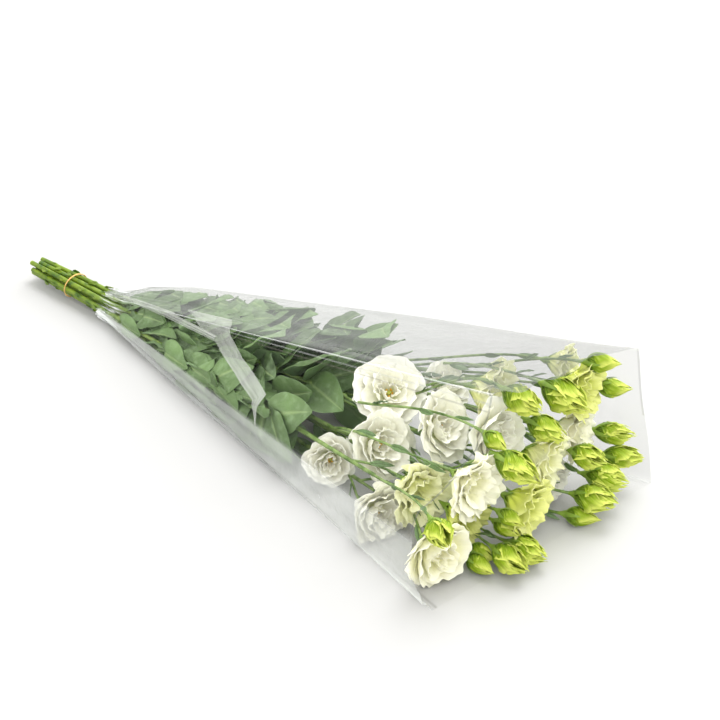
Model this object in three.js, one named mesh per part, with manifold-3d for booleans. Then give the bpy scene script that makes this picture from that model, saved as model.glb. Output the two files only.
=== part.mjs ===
// A bunch of ten lisianthus stems in a clear cone-shaped sleeve, tied with a rubber band, lying down.
// Millimetres, +Z up. The stems run along X, cut ends at -X, flowers at +X, and the table is Z = 0.
import * as THREE from 'three';
import { mergeVertices } from 'three/addons/utils/BufferGeometryUtils.js';
import Module from 'manifold-3d';

const wasm = await Module();
wasm.setup();

// Driving dimensions
const CUT_END_X = -358;
const BAND_X = -304;
const NECK_X = -235;
const ORIGIN_SHIFT = 12;
const BUNDLE_RISE_AT_CUT = 15.5;
const BUNDLE_RISE_AT_NECK = 15.3;
const STEM_RADIUS = 2.5;
const PEDICEL_RADIUS = 1.15;
const FILM_THICKNESS = 0.6;
const NECK_HALF_WIDTH = 18;
const NECK_HALF_HEIGHT = 15;
const PETAL_THICKNESS = 0.7;
const LEAF_THICKNESS = 0.7;
const LEAF_LENGTH = 66;
const LEAF_WIDTH_SHARE = 0.56;
const PRESS_MARGIN = 1.3;
const PRESS_END_X = 330;
const TABLE_CLEARANCE = 1.5;
const SEPAL_COUNT = 5;
const CLEAR_PAD = 0.35;

// Mouth of the sleeve: position of each corner on the rim, its angle round the gathered neck, and how
// far the film bellies up over a straight line between the two
const RIM = [
  { name: 'near_corner', at: [308, -138, 0.3], turn: 200, puff: 0 },
  { name: 'floor_near', at: [315, -60, 0.3], turn: 232, puff: 0 },
  { name: 'floor_far', at: [323, 45, 0.3], turn: 290, puff: 0 },
  { name: 'far_corner', at: [330, 138, 0.3], turn: 335, puff: 0 },
  { name: 'far_wall', at: [320, 134, 70], turn: 0, puff: 6 },
  { name: 'top_corner', at: [313, 126, 140], turn: 32, puff: 22 },
  { name: 'rim_a', at: [297, 82, 146], turn: 58, puff: 16 },
  { name: 'rim_b', at: [302, 22, 153], turn: 82, puff: 8 },
  { name: 'rim_c', at: [302, -14, 160], turn: 97, puff: 3 },
  { name: 'ridge', at: [295, -49, 167], turn: 112, puff: 0 },
  { name: 'rim_e', at: [298, -70, 124], turn: 135, puff: 0 },
  { name: 'rim_f', at: [277, -118, 76], turn: 160, puff: 0 },
  { name: 'rim_g', at: [273, -129, 34], turn: 178, puff: 0 },
  { name: 'rim_h', at: [288, -134, 8], turn: 190, puff: 0 },
];
const SLEEVE_STATIONS = [0, 0.05, 1 / 7, 2 / 7, 3 / 7, 4 / 7, 5 / 7, 6 / 7, 1];
const FLOOR_FROM = 2 / 7;
const PUFF_PROFILE = [[0, 0], [0.05, 0.54], [1 / 7, 0.78], [2 / 7, 0.71], [1, 0]];

// Stems: place in the bundle at the cut ends, spread a little at the neck, and where the main stem ends
const NECK_SPREAD = 1.5;
const STEMS = [
  { slot: [-6, -5.2], end: [150, -54, 13] },
  { slot: [-9, 0], end: [196, -88, 60] },
  { slot: [-3, 0], end: [110, -46, 48] },
  { slot: [0, -5.2], end: [160, -18, 16] },
  { slot: [-6, 5.2], end: [100, -22, 68] },
  { slot: [0, 5.2], end: [125, 8, 62] },
  { slot: [3, 0], end: [160, 14, 38] },
  { slot: [6, -5.2], end: [170, 42, 14] },
  { slot: [9, 0], end: [150, 62, 46] },
  { slot: [6, 5.2], end: [130, 46, 78] },
];

// Colours
const WHITE = { color: 0xf6f4ea, roughness: 0.6 };
const CREAM = { color: 0xf3f0d0, roughness: 0.6 };
const PALE = { color: 0xe4eab4, roughness: 0.6 };
const LIME = { color: 0xd3dc74, roughness: 0.6 };
const BUD_GREEN = { color: 0xb4c84e, roughness: 0.6 };
const LEAF_GREEN = { color: 0x6f9468, roughness: 0.65 };
const BAND_TAN = { color: 0xc9a45c, roughness: 0.7 };
const FILM_CLEAR = { color: 0xe9ecec, roughness: 0.15 };

function openFlower(stem, at, face, radius, depth, tint) {
  return { kind: 'open', stem, at, face, radius, depth, tint };
}

function bellFlower(stem, at, face, radius, depth, tint) {
  return { kind: 'bell', stem, at, face, radius, depth, tint };
}

// Flowers: stem that carries it, middle, direction of the face, radius, depth and colour
const FLOWERS = [
  openFlower(5, [140, -8, 84], [0.45, -0.4, 0.8], 29, 24, WHITE),
  openFlower(3, [163, -45, 56], [0.85, -0.2, 0.4], 27, 26, WHITE),
  openFlower(2, [118, -62, 26], [0.6, -0.7, 0.2], 21, 22, WHITE),
  openFlower(6, [166, 40, 80], [0.6, 0.1, 0.8], 19, 22, WHITE),
  openFlower(5, [206, -12, 78], [0.8, 0.05, 0.5], 26, 24, WHITE),
  openFlower(6, [258, -2, 88], [0.9, 0.0, 0.25], 27, 26, WHITE),
  bellFlower(10, [214, 40, 95], [0.9, 0.25, 0.0], 21, 34, PALE),
  openFlower(1, [199, -87, 19], [0.92, -0.2, 0.15], 26, 26, WHITE),
  openFlower(1, [281, -104, 30], [0.93, -0.25, -0.06], 28, 30, CREAM),
  bellFlower(2, [226, -67, 50], [0.93, -0.25, 0.1], 22, 36, PALE),
  bellFlower(3, [275, -55, 73], [0.97, -0.1, -0.05], 21, 34, CREAM),
  bellFlower(4, [267, -54, 33], [0.95, 0.0, -0.15], 16.5, 34, LIME),
  bellFlower(7, [300, -12, 40], [0.95, 0.15, -0.15], 21, 34, LIME),
  bellFlower(7, [287, 29, 63], [0.93, 0.28, -0.12], 21, 34, PALE),
  bellFlower(9, [277, 82, 60], [0.9, 0.25, 0.1], 20, 32, CREAM),
  bellFlower(10, [277, 87, 103], [0.95, 0.16, 0.06], 19.5, 36, LIME),
  bellFlower(10, [248, 101, 110], [0.9, 0.2, 0.05], 14, 28, PALE),
  openFlower(8, [277, 54, 21], [0.95, 0.05, -0.1], 20, 24, WHITE),
];

// Buds: middle, direction of the tip, radius and length
const BUDS = [
  { stem: 6, at: [305, -32, 93], face: [0.93, 0.1, -0.2], radius: 10.5, depth: 34 },
  { stem: 10, at: [286, 55, 116], face: [0.95, 0.15, -0.2], radius: 12, depth: 38 },
  { stem: 6, at: [273, 13, 125], face: [0.93, 0.1, -0.2], radius: 10, depth: 32 },
  { stem: 6, at: [291, 25, 97], face: [0.95, 0.15, -0.15], radius: 9, depth: 30 },
  { stem: 10, at: [293, 102, 130], face: [0.85, 0.35, 0.15], radius: 7.5, depth: 28 },
  { stem: 10, at: [297, 117, 98], face: [0.85, 0.4, 0.12], radius: 7.5, depth: 28 },
  { stem: 9, at: [299, 114, 53], face: [0.85, 0.45, 0.05], radius: 8, depth: 30 },
  { stem: 9, at: [312, 112, 34], face: [0.85, 0.5, 0.05], radius: 8, depth: 30 },
  { stem: 9, at: [312, 61, 60], face: [0.95, 0.15, 0.0], radius: 8.5, depth: 28 },
  { stem: 8, at: [320, 78, 32], face: [0.9, 0.4, 0.0], radius: 10, depth: 32 },
  { stem: 8, at: [327, 53, 26], face: [0.95, 0.3, 0.05], radius: 10, depth: 32 },
  { stem: 8, at: [324, 43, 9.5], face: [0.9, 0.45, 0.0], radius: 7, depth: 28 },
  { stem: 5, at: [281, -28, 105], face: [0.9, -0.1, -0.1], radius: 6.5, depth: 24 },
  { stem: 2, at: [299, -121, 69], face: [0.85, -0.3, -0.25], radius: 9.5, depth: 24 },
  { stem: 4, at: [322, -56, 18], face: [0.95, -0.15, 0.02], radius: 9.5, depth: 34 },
  { stem: 4, at: [322, -33.5, 14.5], face: [0.95, 0.1, 0.0], radius: 9.5, depth: 32 },
  { stem: 1, at: [305, -72.5, 10.5], face: [0.9, -0.1, 0.0], radius: 7, depth: 28 },
  { stem: 3, at: [312, -42, 47], face: [0.95, -0.05, 0.0], radius: 6, depth: 24 },
  { stem: 1, at: [295, -58, 10], face: [0.95, 0.05, 0.0], radius: 6.5, depth: 24 },
  { stem: 4, at: [304, -37, 30], face: [0.95, -0.1, 0.05], radius: 6.5, depth: 26 },
];

// Seeded draw between 0 and 1 for a piece, a part of it and a purpose
function draw(a, b, c) {
  const value = Math.sin(a * 12.9898 + b * 78.233 + c * 37.719) * 43758.5453;
  return value - Math.floor(value);
}

function lerp(a, b, t) {
  return a + (b - a) * t;
}

function vec(list) {
  return new THREE.Vector3(list[0], list[1], list[2]);
}

// Value of a profile given as rows of [share, value] at one share
function along(rows, share) {
  for (let i = 1; i < rows.length; i += 1) {
    if (share <= rows[i][0]) {
      const t = (share - rows[i - 1][0]) / (rows[i][0] - rows[i - 1][0]);
      return lerp(rows[i - 1][1], rows[i][1], t);
    }
  }
  return rows[rows.length - 1][1];
}

// The film runs in lines from the gathered neck, share 0, to the rim, share 1, and bellies up on top
function filmPoint(corner, share) {
  const turn = THREE.MathUtils.degToRad(corner.turn);
  const neckY = NECK_HALF_WIDTH * Math.cos(turn);
  const neckZ = BUNDLE_RISE_AT_NECK + NECK_HALF_HEIGHT * Math.sin(turn);
  const onFloor = corner.at[2] < 1;
  const settle = onFloor ? 1 - (1 - Math.min(1, share / FLOOR_FROM)) ** 2 : share;
  return new THREE.Vector3(
    lerp(NECK_X, corner.at[0], share),
    lerp(neckY, corner.at[1], share),
    lerp(neckZ, corner.at[2], settle) + corner.puff * along(PUFF_PROFILE, share),
  );
}

// Where each line of the film crosses one X
function filmSection(x) {
  return RIM.map((corner) => {
    const share = Math.max(0, (x - NECK_X) / (corner.at[0] - NECK_X));
    const p = filmPoint(corner, share);
    return [p.y, Math.max(p.z, 0.3)];
  });
}

// Moves a point that would stand outside the film, or under the table, back inside
function press(p) {
  if (p.x > NECK_X && p.x < PRESS_END_X) {
    const section = filmSection(p.x);
    const middleY = section.reduce((sum, q) => sum + q[0], 0) / section.length;
    const middleZ = section.reduce((sum, q) => sum + q[1], 0) / section.length;
    const dy = p.y - middleY;
    const dz = p.z - middleZ;
    const reach = Math.hypot(dy, dz);
    for (let i = 0; i < section.length && reach > 0; i += 1) {
      const j = (i + 1) % section.length;
      const [ay, az] = [section[i][0] - middleY, section[i][1] - middleZ];
      const [by, bz] = [section[j][0] - middleY, section[j][1] - middleZ];
      const sideA = ay * dz - az * dy;
      const sideB = by * dz - bz * dy;
      const ahead = (ay + by) * dy + (az + bz) * dz > 0;
      const filmEnd = Math.min(RIM[i].at[0], RIM[j].at[0]) + 3;
      if (sideA * sideB <= 0 && ahead && p.x < filmEnd) {
        const t = sideA / (sideA - sideB || 1);
        const limit = Math.hypot(lerp(ay, by, t), lerp(az, bz, t)) - PRESS_MARGIN;
        if (reach > limit) {
          p.y = middleY + (dy * limit) / reach;
          p.z = middleZ + (dz * limit) / reach;
        }
        break;
      }
    }
  }
  p.z = Math.max(p.z, TABLE_CLEARANCE);
  return p;
}

// Plain geometry with merged vertices and no collapsed triangles
function tidyMesh(geometry) {
  const plain = geometry.clone();
  plain.deleteAttribute('normal');
  plain.deleteAttribute('uv');
  const merged = mergeVertices(plain, 1e-4);
  const index = merged.index.array;
  const kept = [];
  for (let i = 0; i < index.length; i += 3) {
    const [a, b, c] = [index[i], index[i + 1], index[i + 2]];
    if (a !== b && b !== c && c !== a) {
      kept.push(a, b, c);
    }
  }
  merged.setIndex(kept);
  return merged;
}

// Closed solid from an open surface: the surface on both faces, alike, and a wall along its open edges
function shell(surface, thickness) {
  const sheet = tidyMesh(surface);
  sheet.computeVertexNormals();
  const { position, normal } = sheet.attributes;
  const count = position.count;
  const points = [];
  [0.5, -0.5].forEach((side) => {
    for (let i = 0; i < count; i += 1) {
      points.push(
        position.getX(i) + normal.getX(i) * thickness * side,
        position.getY(i) + normal.getY(i) * thickness * side,
        position.getZ(i) + normal.getZ(i) * thickness * side,
      );
    }
  });
  const index = Array.from(sheet.index.array);
  const edges = new Set();
  const faces = [];
  for (let i = 0; i < index.length; i += 3) {
    const [a, b, c] = [index[i], index[i + 1], index[i + 2]];
    faces.push(a, b, c, a + count, c + count, b + count);
    edges.add(`${a},${b}`).add(`${b},${c}`).add(`${c},${a}`);
  }
  edges.forEach((edge) => {
    const [a, b] = edge.split(',').map(Number);
    if (!edges.has(`${b},${a}`)) {
      faces.push(b, a, a + count, b, a + count, b + count);
    }
  });
  const solid = new THREE.BufferGeometry();
  solid.setAttribute('position', new THREE.Float32BufferAttribute(points, 3));
  solid.setIndex(faces);
  return solid;
}

// A blade: a grid over u from -1 to 1 and v from 0 to 1, bent by a formula and thickened
function blade(across, lengthwise, thickness, bend) {
  const plane = new THREE.PlaneGeometry(2, 1, across, lengthwise);
  const { position } = plane.attributes;
  for (let i = 0; i < position.count; i += 1) {
    const p = bend(position.getX(i), position.getY(i) + 0.5);
    position.setXYZ(i, p.x, p.y, p.z);
  }
  return shell(plane, thickness);
}

// A tube along a curve, as a polygon extruded along it
function tube(curve, radius, sides, steps) {
  const outline = new THREE.Shape();
  for (let i = 0; i < sides; i += 1) {
    const turn = (i / sides) * Math.PI * 2;
    const point = [radius * Math.cos(turn), radius * Math.sin(turn)];
    if (i === 0) {
      outline.moveTo(...point);
    } else {
      outline.lineTo(...point);
    }
  }
  outline.closePath();
  return new THREE.ExtrudeGeometry(outline, { steps, extrudePath: curve, bevelEnabled: false });
}

function solidOf(geometry) {
  const mesh = tidyMesh(geometry);
  const vertProperties = new Float32Array(mesh.attributes.position.array);
  const triVerts = new Uint32Array(mesh.index.array);
  return new wasm.Manifold(new wasm.Mesh({ numProp: 3, vertProperties, triVerts }));
}

function fuse(solids) {
  return solids.reduce((whole, solid) => whole.add(solid));
}

// The outer skin of a fused solid: pockets sealed by fusing are filled and loose scraps dropped
function geometryOf(solid) {
  const mesh = solid.getMesh();
  const points = [];
  for (let i = 0; i < mesh.numVert; i += 1) {
    const at = i * mesh.numProp;
    points.push(...mesh.vertProperties.slice(at, at + 3));
  }
  const group = Array.from({ length: mesh.numVert }, (_, i) => i);
  const rootOf = (i) => {
    let root = i;
    while (group[root] !== root) {
      group[root] = group[group[root]];
      root = group[root];
    }
    return root;
  };
  const faces = Array.from(mesh.triVerts);
  for (let i = 0; i < faces.length; i += 3) {
    group[rootOf(faces[i])] = rootOf(faces[i + 1]);
    group[rootOf(faces[i + 1])] = rootOf(faces[i + 2]);
  }
  const corner = (i) => new THREE.Vector3(...points.slice(i * 3, i * 3 + 3));
  const volumes = new Map();
  for (let i = 0; i < faces.length; i += 3) {
    const root = rootOf(faces[i]);
    const share = corner(faces[i]).dot(corner(faces[i + 1]).cross(corner(faces[i + 2]))) / 6;
    volumes.set(root, (volumes.get(root) || 0) + share);
  }
  const body = [...volumes.entries()].sort((a, b) => b[1] - a[1])[0][0];
  const kept = [];
  for (let i = 0; i < faces.length; i += 3) {
    if (rootOf(faces[i]) === body) {
      kept.push(faces[i], faces[i + 1], faces[i + 2]);
    }
  }
  const geometry = new THREE.BufferGeometry();
  geometry.setAttribute('position', new THREE.Float32BufferAttribute(points, 3));
  geometry.setIndex(kept);
  const whole = tidyMesh(geometry);
  whole.computeVertexNormals();
  return whole;
}

// Frame of a flower or bud: its base on the calyx and its three directions
function headFrame(head, number) {
  const axis = vec(head.face).normalize();
  const side = new THREE.Vector3().crossVectors(new THREE.Vector3(0, 0, 1), axis).normalize();
  const up = new THREE.Vector3().crossVectors(axis, side);
  const base = vec(head.at).addScaledVector(axis, -head.depth / 2);
  return { axis, side, up, base, roll: draw(number, 1, 1) * Math.PI * 2 };
}

// Point of a head from its radius, turn and height over the base
function headPoint(frame, radius, turn, height) {
  return frame.base
    .clone()
    .addScaledVector(frame.side, radius * Math.cos(turn + frame.roll))
    .addScaledVector(frame.up, radius * Math.sin(turn + frame.roll))
    .addScaledVector(frame.axis, height);
}

// Layers of petals: how many, half width as an angle, and the outline of the layer from base to lip
const OPEN_OUTER = {
  petals: 5,
  half: 0.61,
  reach: [[0, 0.09], [0.5, 0.62], [1, 1]],
  rise: [[0, 0.06], [0.5, 0.5], [1, 0.86]],
};
const OPEN_INNER = {
  petals: 3,
  half: 0.9,
  reach: [[0, 0.08], [0.5, 0.36], [1, 0.5]],
  rise: [[0, 0.1], [0.5, 0.62], [1, 1.08]],
};
const BELL_OUTER = {
  petals: 5,
  half: 0.61,
  reach: [[0, 0.12], [0.5, 0.72], [1, 1]],
  rise: [[0, 0.04], [0.5, 0.45], [1, 1]],
};
const LAYERS = { open: [OPEN_OUTER, OPEN_INNER], bell: [BELL_OUTER] };

// Heart of a flower: a short pistil in an open one, and the furled inner petals in a bell
const PISTIL = {
  ridges: 3,
  ridge: 0,
  twist: 0,
  outline: [[0, 0], [0.11, 0.01], [0.14, 0.15], [0, 0.55]],
};
const FURLED_HEART = {
  ridges: 4,
  ridge: 0.2,
  twist: 0.9,
  outline: [[0, 0], [0.16, 0.01], [0.44, 0.5], [0.3, 0.96], [0, 0.82]],
};
const HEARTS = { open: PISTIL, bell: FURLED_HEART };

const RUFFLE_SHARE = 0.11;
function petal(frame, head, layer, turn, seed) {
  const ruffle = head.radius * RUFFLE_SHARE;
  return blade(2, 2, PETAL_THICKNESS, (u, v) => {
    const reach = along(layer.reach, v) * head.radius;
    const rise = along(layer.rise, v) * head.depth;
    const wave = Math.cos(u * 5 + seed * 6.3) * ruffle * v * v;
    const half = layer.half * Math.min(1, 0.16 + 1.7 * v);
    const drop = u * u * v * head.depth * 0.12;
    const radius = reach + u * 1.5 * Math.min(1, v * 2) + wave;
    return press(headPoint(frame, radius, turn + u * half, rise - drop + wave * 0.6));
  });
}

function flower(head, number) {
  const frame = headFrame(head, number);
  const solids = [solidOf(furl(frame, head, HEARTS[head.kind]))];
  LAYERS[head.kind].forEach((layer, ring) => {
    for (let i = 0; i < layer.petals; i += 1) {
      const turn = ((i + ring * 0.5) / layer.petals) * Math.PI * 2;
      solids.push(solidOf(petal(frame, head, layer, turn, draw(number, i, ring + 2))));
    }
  });
  return fuse(solids);
}

// Furled petals: a closed body turned from an outline, with ridges that twist up to the tip
function furl(frame, head, form) {
  const profile = form.outline.map((p) => new THREE.Vector2(p[0] * head.radius, p[1] * head.depth));
  const lathe = new THREE.LatheGeometry(profile, form.ridges * 2);
  const { position } = lathe.attributes;
  for (let i = 0; i < position.count; i += 1) {
    const [x, y, z] = [position.getX(i), position.getY(i), position.getZ(i)];
    const turn = Math.atan2(-z, x) + Math.PI / 2;
    const reach = Math.hypot(x, z) * (1 + form.ridge * Math.cos(turn * form.ridges));
    const p = press(headPoint(frame, reach, turn + (form.twist * y) / head.depth, y));
    position.setXYZ(i, p.x, p.y, p.z);
  }
  return lathe;
}

// A bud: five furled petals
const BUD_FORM = {
  ridges: 5,
  ridge: 0.12,
  twist: 1.5,
  outline: [[0, 0], [0.3, 0.01], [0.66, 0.16], [1, 0.44], [0.66, 0.74], [0, 1]],
};

function bud(head, number) {
  return solidOf(furl(headFrame(head, number), head, BUD_FORM));
}

// Calyx under a head: a small green cup drawn out into five narrow sepals that stand clear of the petals
const SEPAL_REACH = { open: 0.55, bell: 0.66, bud: 1.4 };
const SEPAL_RISE = { open: 0.14, bell: 0.24, bud: 0.36 };
const CUP_RADIUS = 4.2;
const CUP_RIM = -0.8;
const CUP_PROFILE = [[0, -8], [CUP_RADIUS, CUP_RIM], [3.4, -0.4], [0, -0.35]];

function calyx(head, number) {
  const frame = headFrame(head, number);
  const kind = head.kind || 'bud';
  const profile = CUP_PROFILE.map((p) => new THREE.Vector2(p[0], p[1]));
  const cup = new THREE.LatheGeometry(profile, SEPAL_COUNT * 2);
  const { position } = cup.attributes;
  for (let i = 0; i < position.count; i += 1) {
    const [x, y, z] = [position.getX(i), position.getY(i), position.getZ(i)];
    const turn = Math.atan2(-z, x);
    const step = Math.round((turn / Math.PI) * SEPAL_COUNT + 0.5);
    const isTip = step % 2 === 0 && Math.abs(y - CUP_RIM) < 1e-4;
    const reach = isTip ? SEPAL_REACH[kind] * head.radius : Math.hypot(x, z);
    const rise = isTip ? SEPAL_RISE[kind] * head.depth : y;
    const p = press(headPoint(frame, reach, turn, rise));
    position.setXYZ(i, p.x, p.y, p.z);
  }
  return solidOf(cup);
}

// Main stem: bundled from the cut end to the neck, then fanned out straight to its end
function stemCurve(stem, number) {
  const [slotY, slotZ] = stem.slot;
  const neck = new THREE.Vector3(NECK_X, slotY * NECK_SPREAD, BUNDLE_RISE_AT_NECK + slotZ * NECK_SPREAD);
  const cut = new THREE.Vector3(CUT_END_X - draw(number, 3, 3) * 9, slotY, BUNDLE_RISE_AT_CUT + slotZ);
  const end = vec(stem.end);
  const points = [cut, cut.clone().lerp(neck, 0.5), neck];
  [0.12, 0.4, 0.7, 1].forEach((share) => points.push(neck.clone().lerp(end, share)));
  return new THREE.CatmullRomCurve3(points, false, 'centripetal');
}

// Point and direction of a stem where it crosses one X
function stemAt(curve, x) {
  let low = 0;
  let high = 1;
  for (let i = 0; i < 30; i += 1) {
    const middle = (low + high) / 2;
    if (curve.getPoint(middle).x < x) {
      low = middle;
    } else {
      high = middle;
    }
  }
  return { point: curve.getPoint(low), direction: curve.getTangent(low) };
}

// Side stalk from the main stem to a head, leaving along the stem and arriving along the head's axis
const PEDICEL_TRIES = 240;
const PEDICEL_STEPS = 4;
function pedicelCurve(stem, curve, head, number, attempt) {
  const frame = headFrame(head, number);
  const foot = frame.base.clone().addScaledVector(frame.axis, -5.5);
  const back = 40 + 110 * draw(number, attempt, 11);
  const from = stemAt(curve, Math.min(stem.end[0] - 3, foot.x - back));
  const reach = from.point.distanceTo(foot);
  const spread = 0.25 * attempt;
  const shift = (purpose) =>
    new THREE.Vector3(
      0,
      (draw(number, attempt, purpose) - 0.5) * spread * 2,
      (draw(number, attempt, purpose + 1) - 0.5) * spread * 2,
    );
  const leaving = foot.clone().sub(from.point).normalize().lerp(from.direction, 0.4);
  const first = from.point.clone().addScaledVector(leaving, reach * 0.33).add(shift(12));
  const second = foot.clone().addScaledVector(frame.axis, -reach * 0.3).add(shift(14));
  first.z = Math.max(first.z, 6);
  second.z = Math.max(second.z, 6);
  return new THREE.CubicBezierCurve3(from.point, first, second, foot);
}

// Leaf: a pointed oval folded a little along its midrib, its face turned outward from the bundle
const LEAF_OUTLINE = [[0, 0.04], [0.33, 0.5], [0.67, 0.4], [1, 0.03]];
function leaf(root, direction, outward, length) {
  const face = outward.clone().addScaledVector(direction, -outward.dot(direction)).normalize();
  const side = new THREE.Vector3().crossVectors(direction, face);
  return (thickness, start) =>
    blade(2, 3, thickness, (u, along01) => {
      const v = lerp(start, 1, along01);
      const half = along(LEAF_OUTLINE, v) * length * LEAF_WIDTH_SHARE;
      const rise = length * LEAF_CURL * v * v - Math.abs(u) * half * 0.18;
      return press(
        root
          .clone()
          .addScaledVector(direction, length * v)
          .addScaledVector(side, half * u)
          .addScaledVector(face, -rise),
      );
    });
}

// Two leaves at each node of a stem; a leaf that meets another piece is turned, tilted or made smaller
const LEAF_NODES = [-200, -128, -50, 35];
const LEAF_NODE_SPREAD = 34;
const LEAF_TRIES = 40;
const LEAF_SIZES = [1, 1, 0.85, 0.7, 0.55];
const LEAF_ROOT_SHARE = 0.2;
const LEAF_CURL = 0.12;
const FAN_MIDDLE_RISE = 44;
const FAN_LENGTH = 380;
function leafTry(curve, number, node, pair, attempt) {
  const x = LEAF_NODES[node] + (draw(number, node, 21) - 0.5) * LEAF_NODE_SPREAD;
  const { point, direction } = stemAt(curve, x);
  const rise = lerp(BUNDLE_RISE_AT_NECK, FAN_MIDDLE_RISE, (x - NECK_X) / FAN_LENGTH);
  const centre = new THREE.Vector3(x, 0, rise);
  const outward = point.clone().sub(centre);
  outward.x = 0;
  outward.normalize();
  const around = new THREE.Vector3().crossVectors(direction, outward).normalize();
  const size = LEAF_SIZES[Math.floor((attempt / LEAF_TRIES) * LEAF_SIZES.length)];
  const seed = node * 2 + pair;
  const turn = (pair === 0 ? 0.9 : -0.9) + (draw(number, seed, 30 + attempt) - 0.5) * 2.6;
  const tilt = 0.35 + 0.45 * draw(number, seed, 130 + attempt);
  const radial = outward.clone().multiplyScalar(Math.cos(turn));
  radial.addScaledVector(around, Math.sin(turn));
  const heading = direction.clone().multiplyScalar(Math.cos(tilt));
  heading.addScaledVector(radial, Math.sin(tilt));
  const length = LEAF_LENGTH * size * lerp(0.7, 1, Math.min(1, (x - NECK_X) / 120));
  return leaf(point, heading.normalize(), outward, length);
}

// Boxes first, then the solids themselves
function boxesMeet(a, b) {
  return [0, 1, 2].every((k) => a.min[k] < b.max[k] && b.min[k] < a.max[k]);
}

function clearOf(test, others) {
  const box = test.boundingBox();
  const apart = (other) => test.intersect(other.solid).volume() < 1e-6;
  return others.every((other) => !boxesMeet(box, other.box) || apart(other));
}

const placed = [];
function place(solid, owner) {
  placed.push({ solid, owner, box: solid.boundingBox() });
}

function buildBunch() {
  const flowers = FLOWERS.map((head, i) => flower(head, i + 1));
  const buds = BUDS.map((head, i) => bud(head, i + 101));
  const curves = STEMS.map((stem, i) => stemCurve(stem, i + 1));
  const bodies = curves.map((curve) => [solidOf(tube(curve, STEM_RADIUS, 5, 8))]);
  place(solidOf(sleeve()), -1);
  flowers.forEach((solid) => place(solid, -1));
  buds.forEach((solid) => place(solid, -1));
  bodies.forEach((list, i) => place(list[0], i));
  const heads = [
    ...FLOWERS.map((head, i) => ({ head, number: i + 1 })),
    ...BUDS.map((head, i) => ({ head, number: i + 101 })),
  ];
  heads.forEach(({ head, number }) => {
    const cup = calyx(head, number);
    bodies[head.stem - 1].push(cup);
    place(cup, head.stem - 1);
  });
  heads.forEach(({ head, number }) => {
    const owner = head.stem - 1;
    const others = placed.filter((item) => item.owner !== owner);
    const own = placed.filter((item) => item.owner === owner && item.solid !== bodies[owner][0]);
    for (let attempt = 0; attempt < PEDICEL_TRIES; attempt += 1) {
      const curve = pedicelCurve(STEMS[owner], curves[owner], head, number, attempt);
      const test = solidOf(tube(curve, PEDICEL_RADIUS + CLEAR_PAD, 6, PEDICEL_STEPS));
      const span = new THREE.CatmullRomCurve3([0.25, 0.45, 0.65, 0.8].map((t) => curve.getPoint(t)));
      const ownTest = solidOf(tube(span, PEDICEL_RADIUS, 4, 3));
      const last = attempt === PEDICEL_TRIES - 1;
      if (last || (clearOf(test, others) && clearOf(ownTest, own))) {
        const stalk = solidOf(tube(curve, PEDICEL_RADIUS, 3, PEDICEL_STEPS));
        bodies[owner].push(stalk);
        place(stalk, owner);
        break;
      }
    }
  });
  curves.forEach((curve, owner) => {
    LEAF_NODES.forEach((_, node) => {
      [0, 1].forEach((pair) => {
        for (let attempt = 0; attempt < LEAF_TRIES; attempt += 1) {
          const make = leafTry(curve, owner + 1, node, pair, attempt);
          const inOwn = placed.filter((item) => item.owner === owner);
          const inOthers = placed.filter((item) => item.owner !== owner);
          const free = clearOf(solidOf(make(LEAF_THICKNESS + 2 * CLEAR_PAD, 0)), inOthers);
          if (free && clearOf(solidOf(make(LEAF_THICKNESS, LEAF_ROOT_SHARE)), inOwn)) {
            const solid = solidOf(make(LEAF_THICKNESS, 0));
            bodies[owner].push(solid);
            place(solid, owner);
            break;
          }
        }
      });
    });
  });
  return { flowers, buds, stems: bodies.map(fuse) };
}

// The sleeve: one sheet of film round the bunch, open at the neck and the mouth
function sleeve() {
  const steps = SLEEVE_STATIONS.length - 1;
  const sheet = new THREE.CylinderGeometry(1, 1, 1, RIM.length, steps, true);
  const { position, uv } = sheet.attributes;
  for (let i = 0; i < position.count; i += 1) {
    const corner = RIM[Math.round(uv.getX(i) * RIM.length) % RIM.length];
    const p = filmPoint(corner, SLEEVE_STATIONS[Math.round(uv.getY(i) * steps)]);
    position.setXYZ(i, p.x, p.y, p.z);
  }
  return shell(sheet, FILM_THICKNESS);
}

// The rubber band: a round cord closed round the bundle
const BAND_HALF_WIDTH = 15;
const BAND_HALF_HEIGHT = 11.7;
const BAND_CORD = 0.9;
function rubberBand() {
  const ring = new THREE.TorusGeometry(1, 0.1, 5, 20);
  const { position } = ring.attributes;
  const share = (BAND_X - CUT_END_X) / (NECK_X - CUT_END_X);
  const rise = lerp(BUNDLE_RISE_AT_CUT, BUNDLE_RISE_AT_NECK, share);
  for (let i = 0; i < position.count; i += 1) {
    const [x, y, z] = [position.getX(i), position.getY(i), position.getZ(i)];
    const turn = Math.atan2(y, x);
    const out = ((Math.hypot(x, y) - 1) / 0.1) * BAND_CORD;
    position.setXYZ(
      i,
      BAND_X + (z / 0.1) * BAND_CORD,
      (BAND_HALF_WIDTH + out) * Math.cos(turn),
      rise + (BAND_HALF_HEIGHT + out) * Math.sin(turn),
    );
  }
  return tidyMesh(ring);
}

// The whole bunch moves along X so that its box stands centred on the origin
const group = new THREE.Group();
group.position.x = ORIGIN_SHIFT;
function addMesh(name, geometry, tint) {
  const material = new THREE.MeshStandardMaterial({ ...tint, metalness: 0 });
  const mesh = new THREE.Mesh(geometry, material);
  mesh.name = name;
  group.add(mesh);
}

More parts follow.
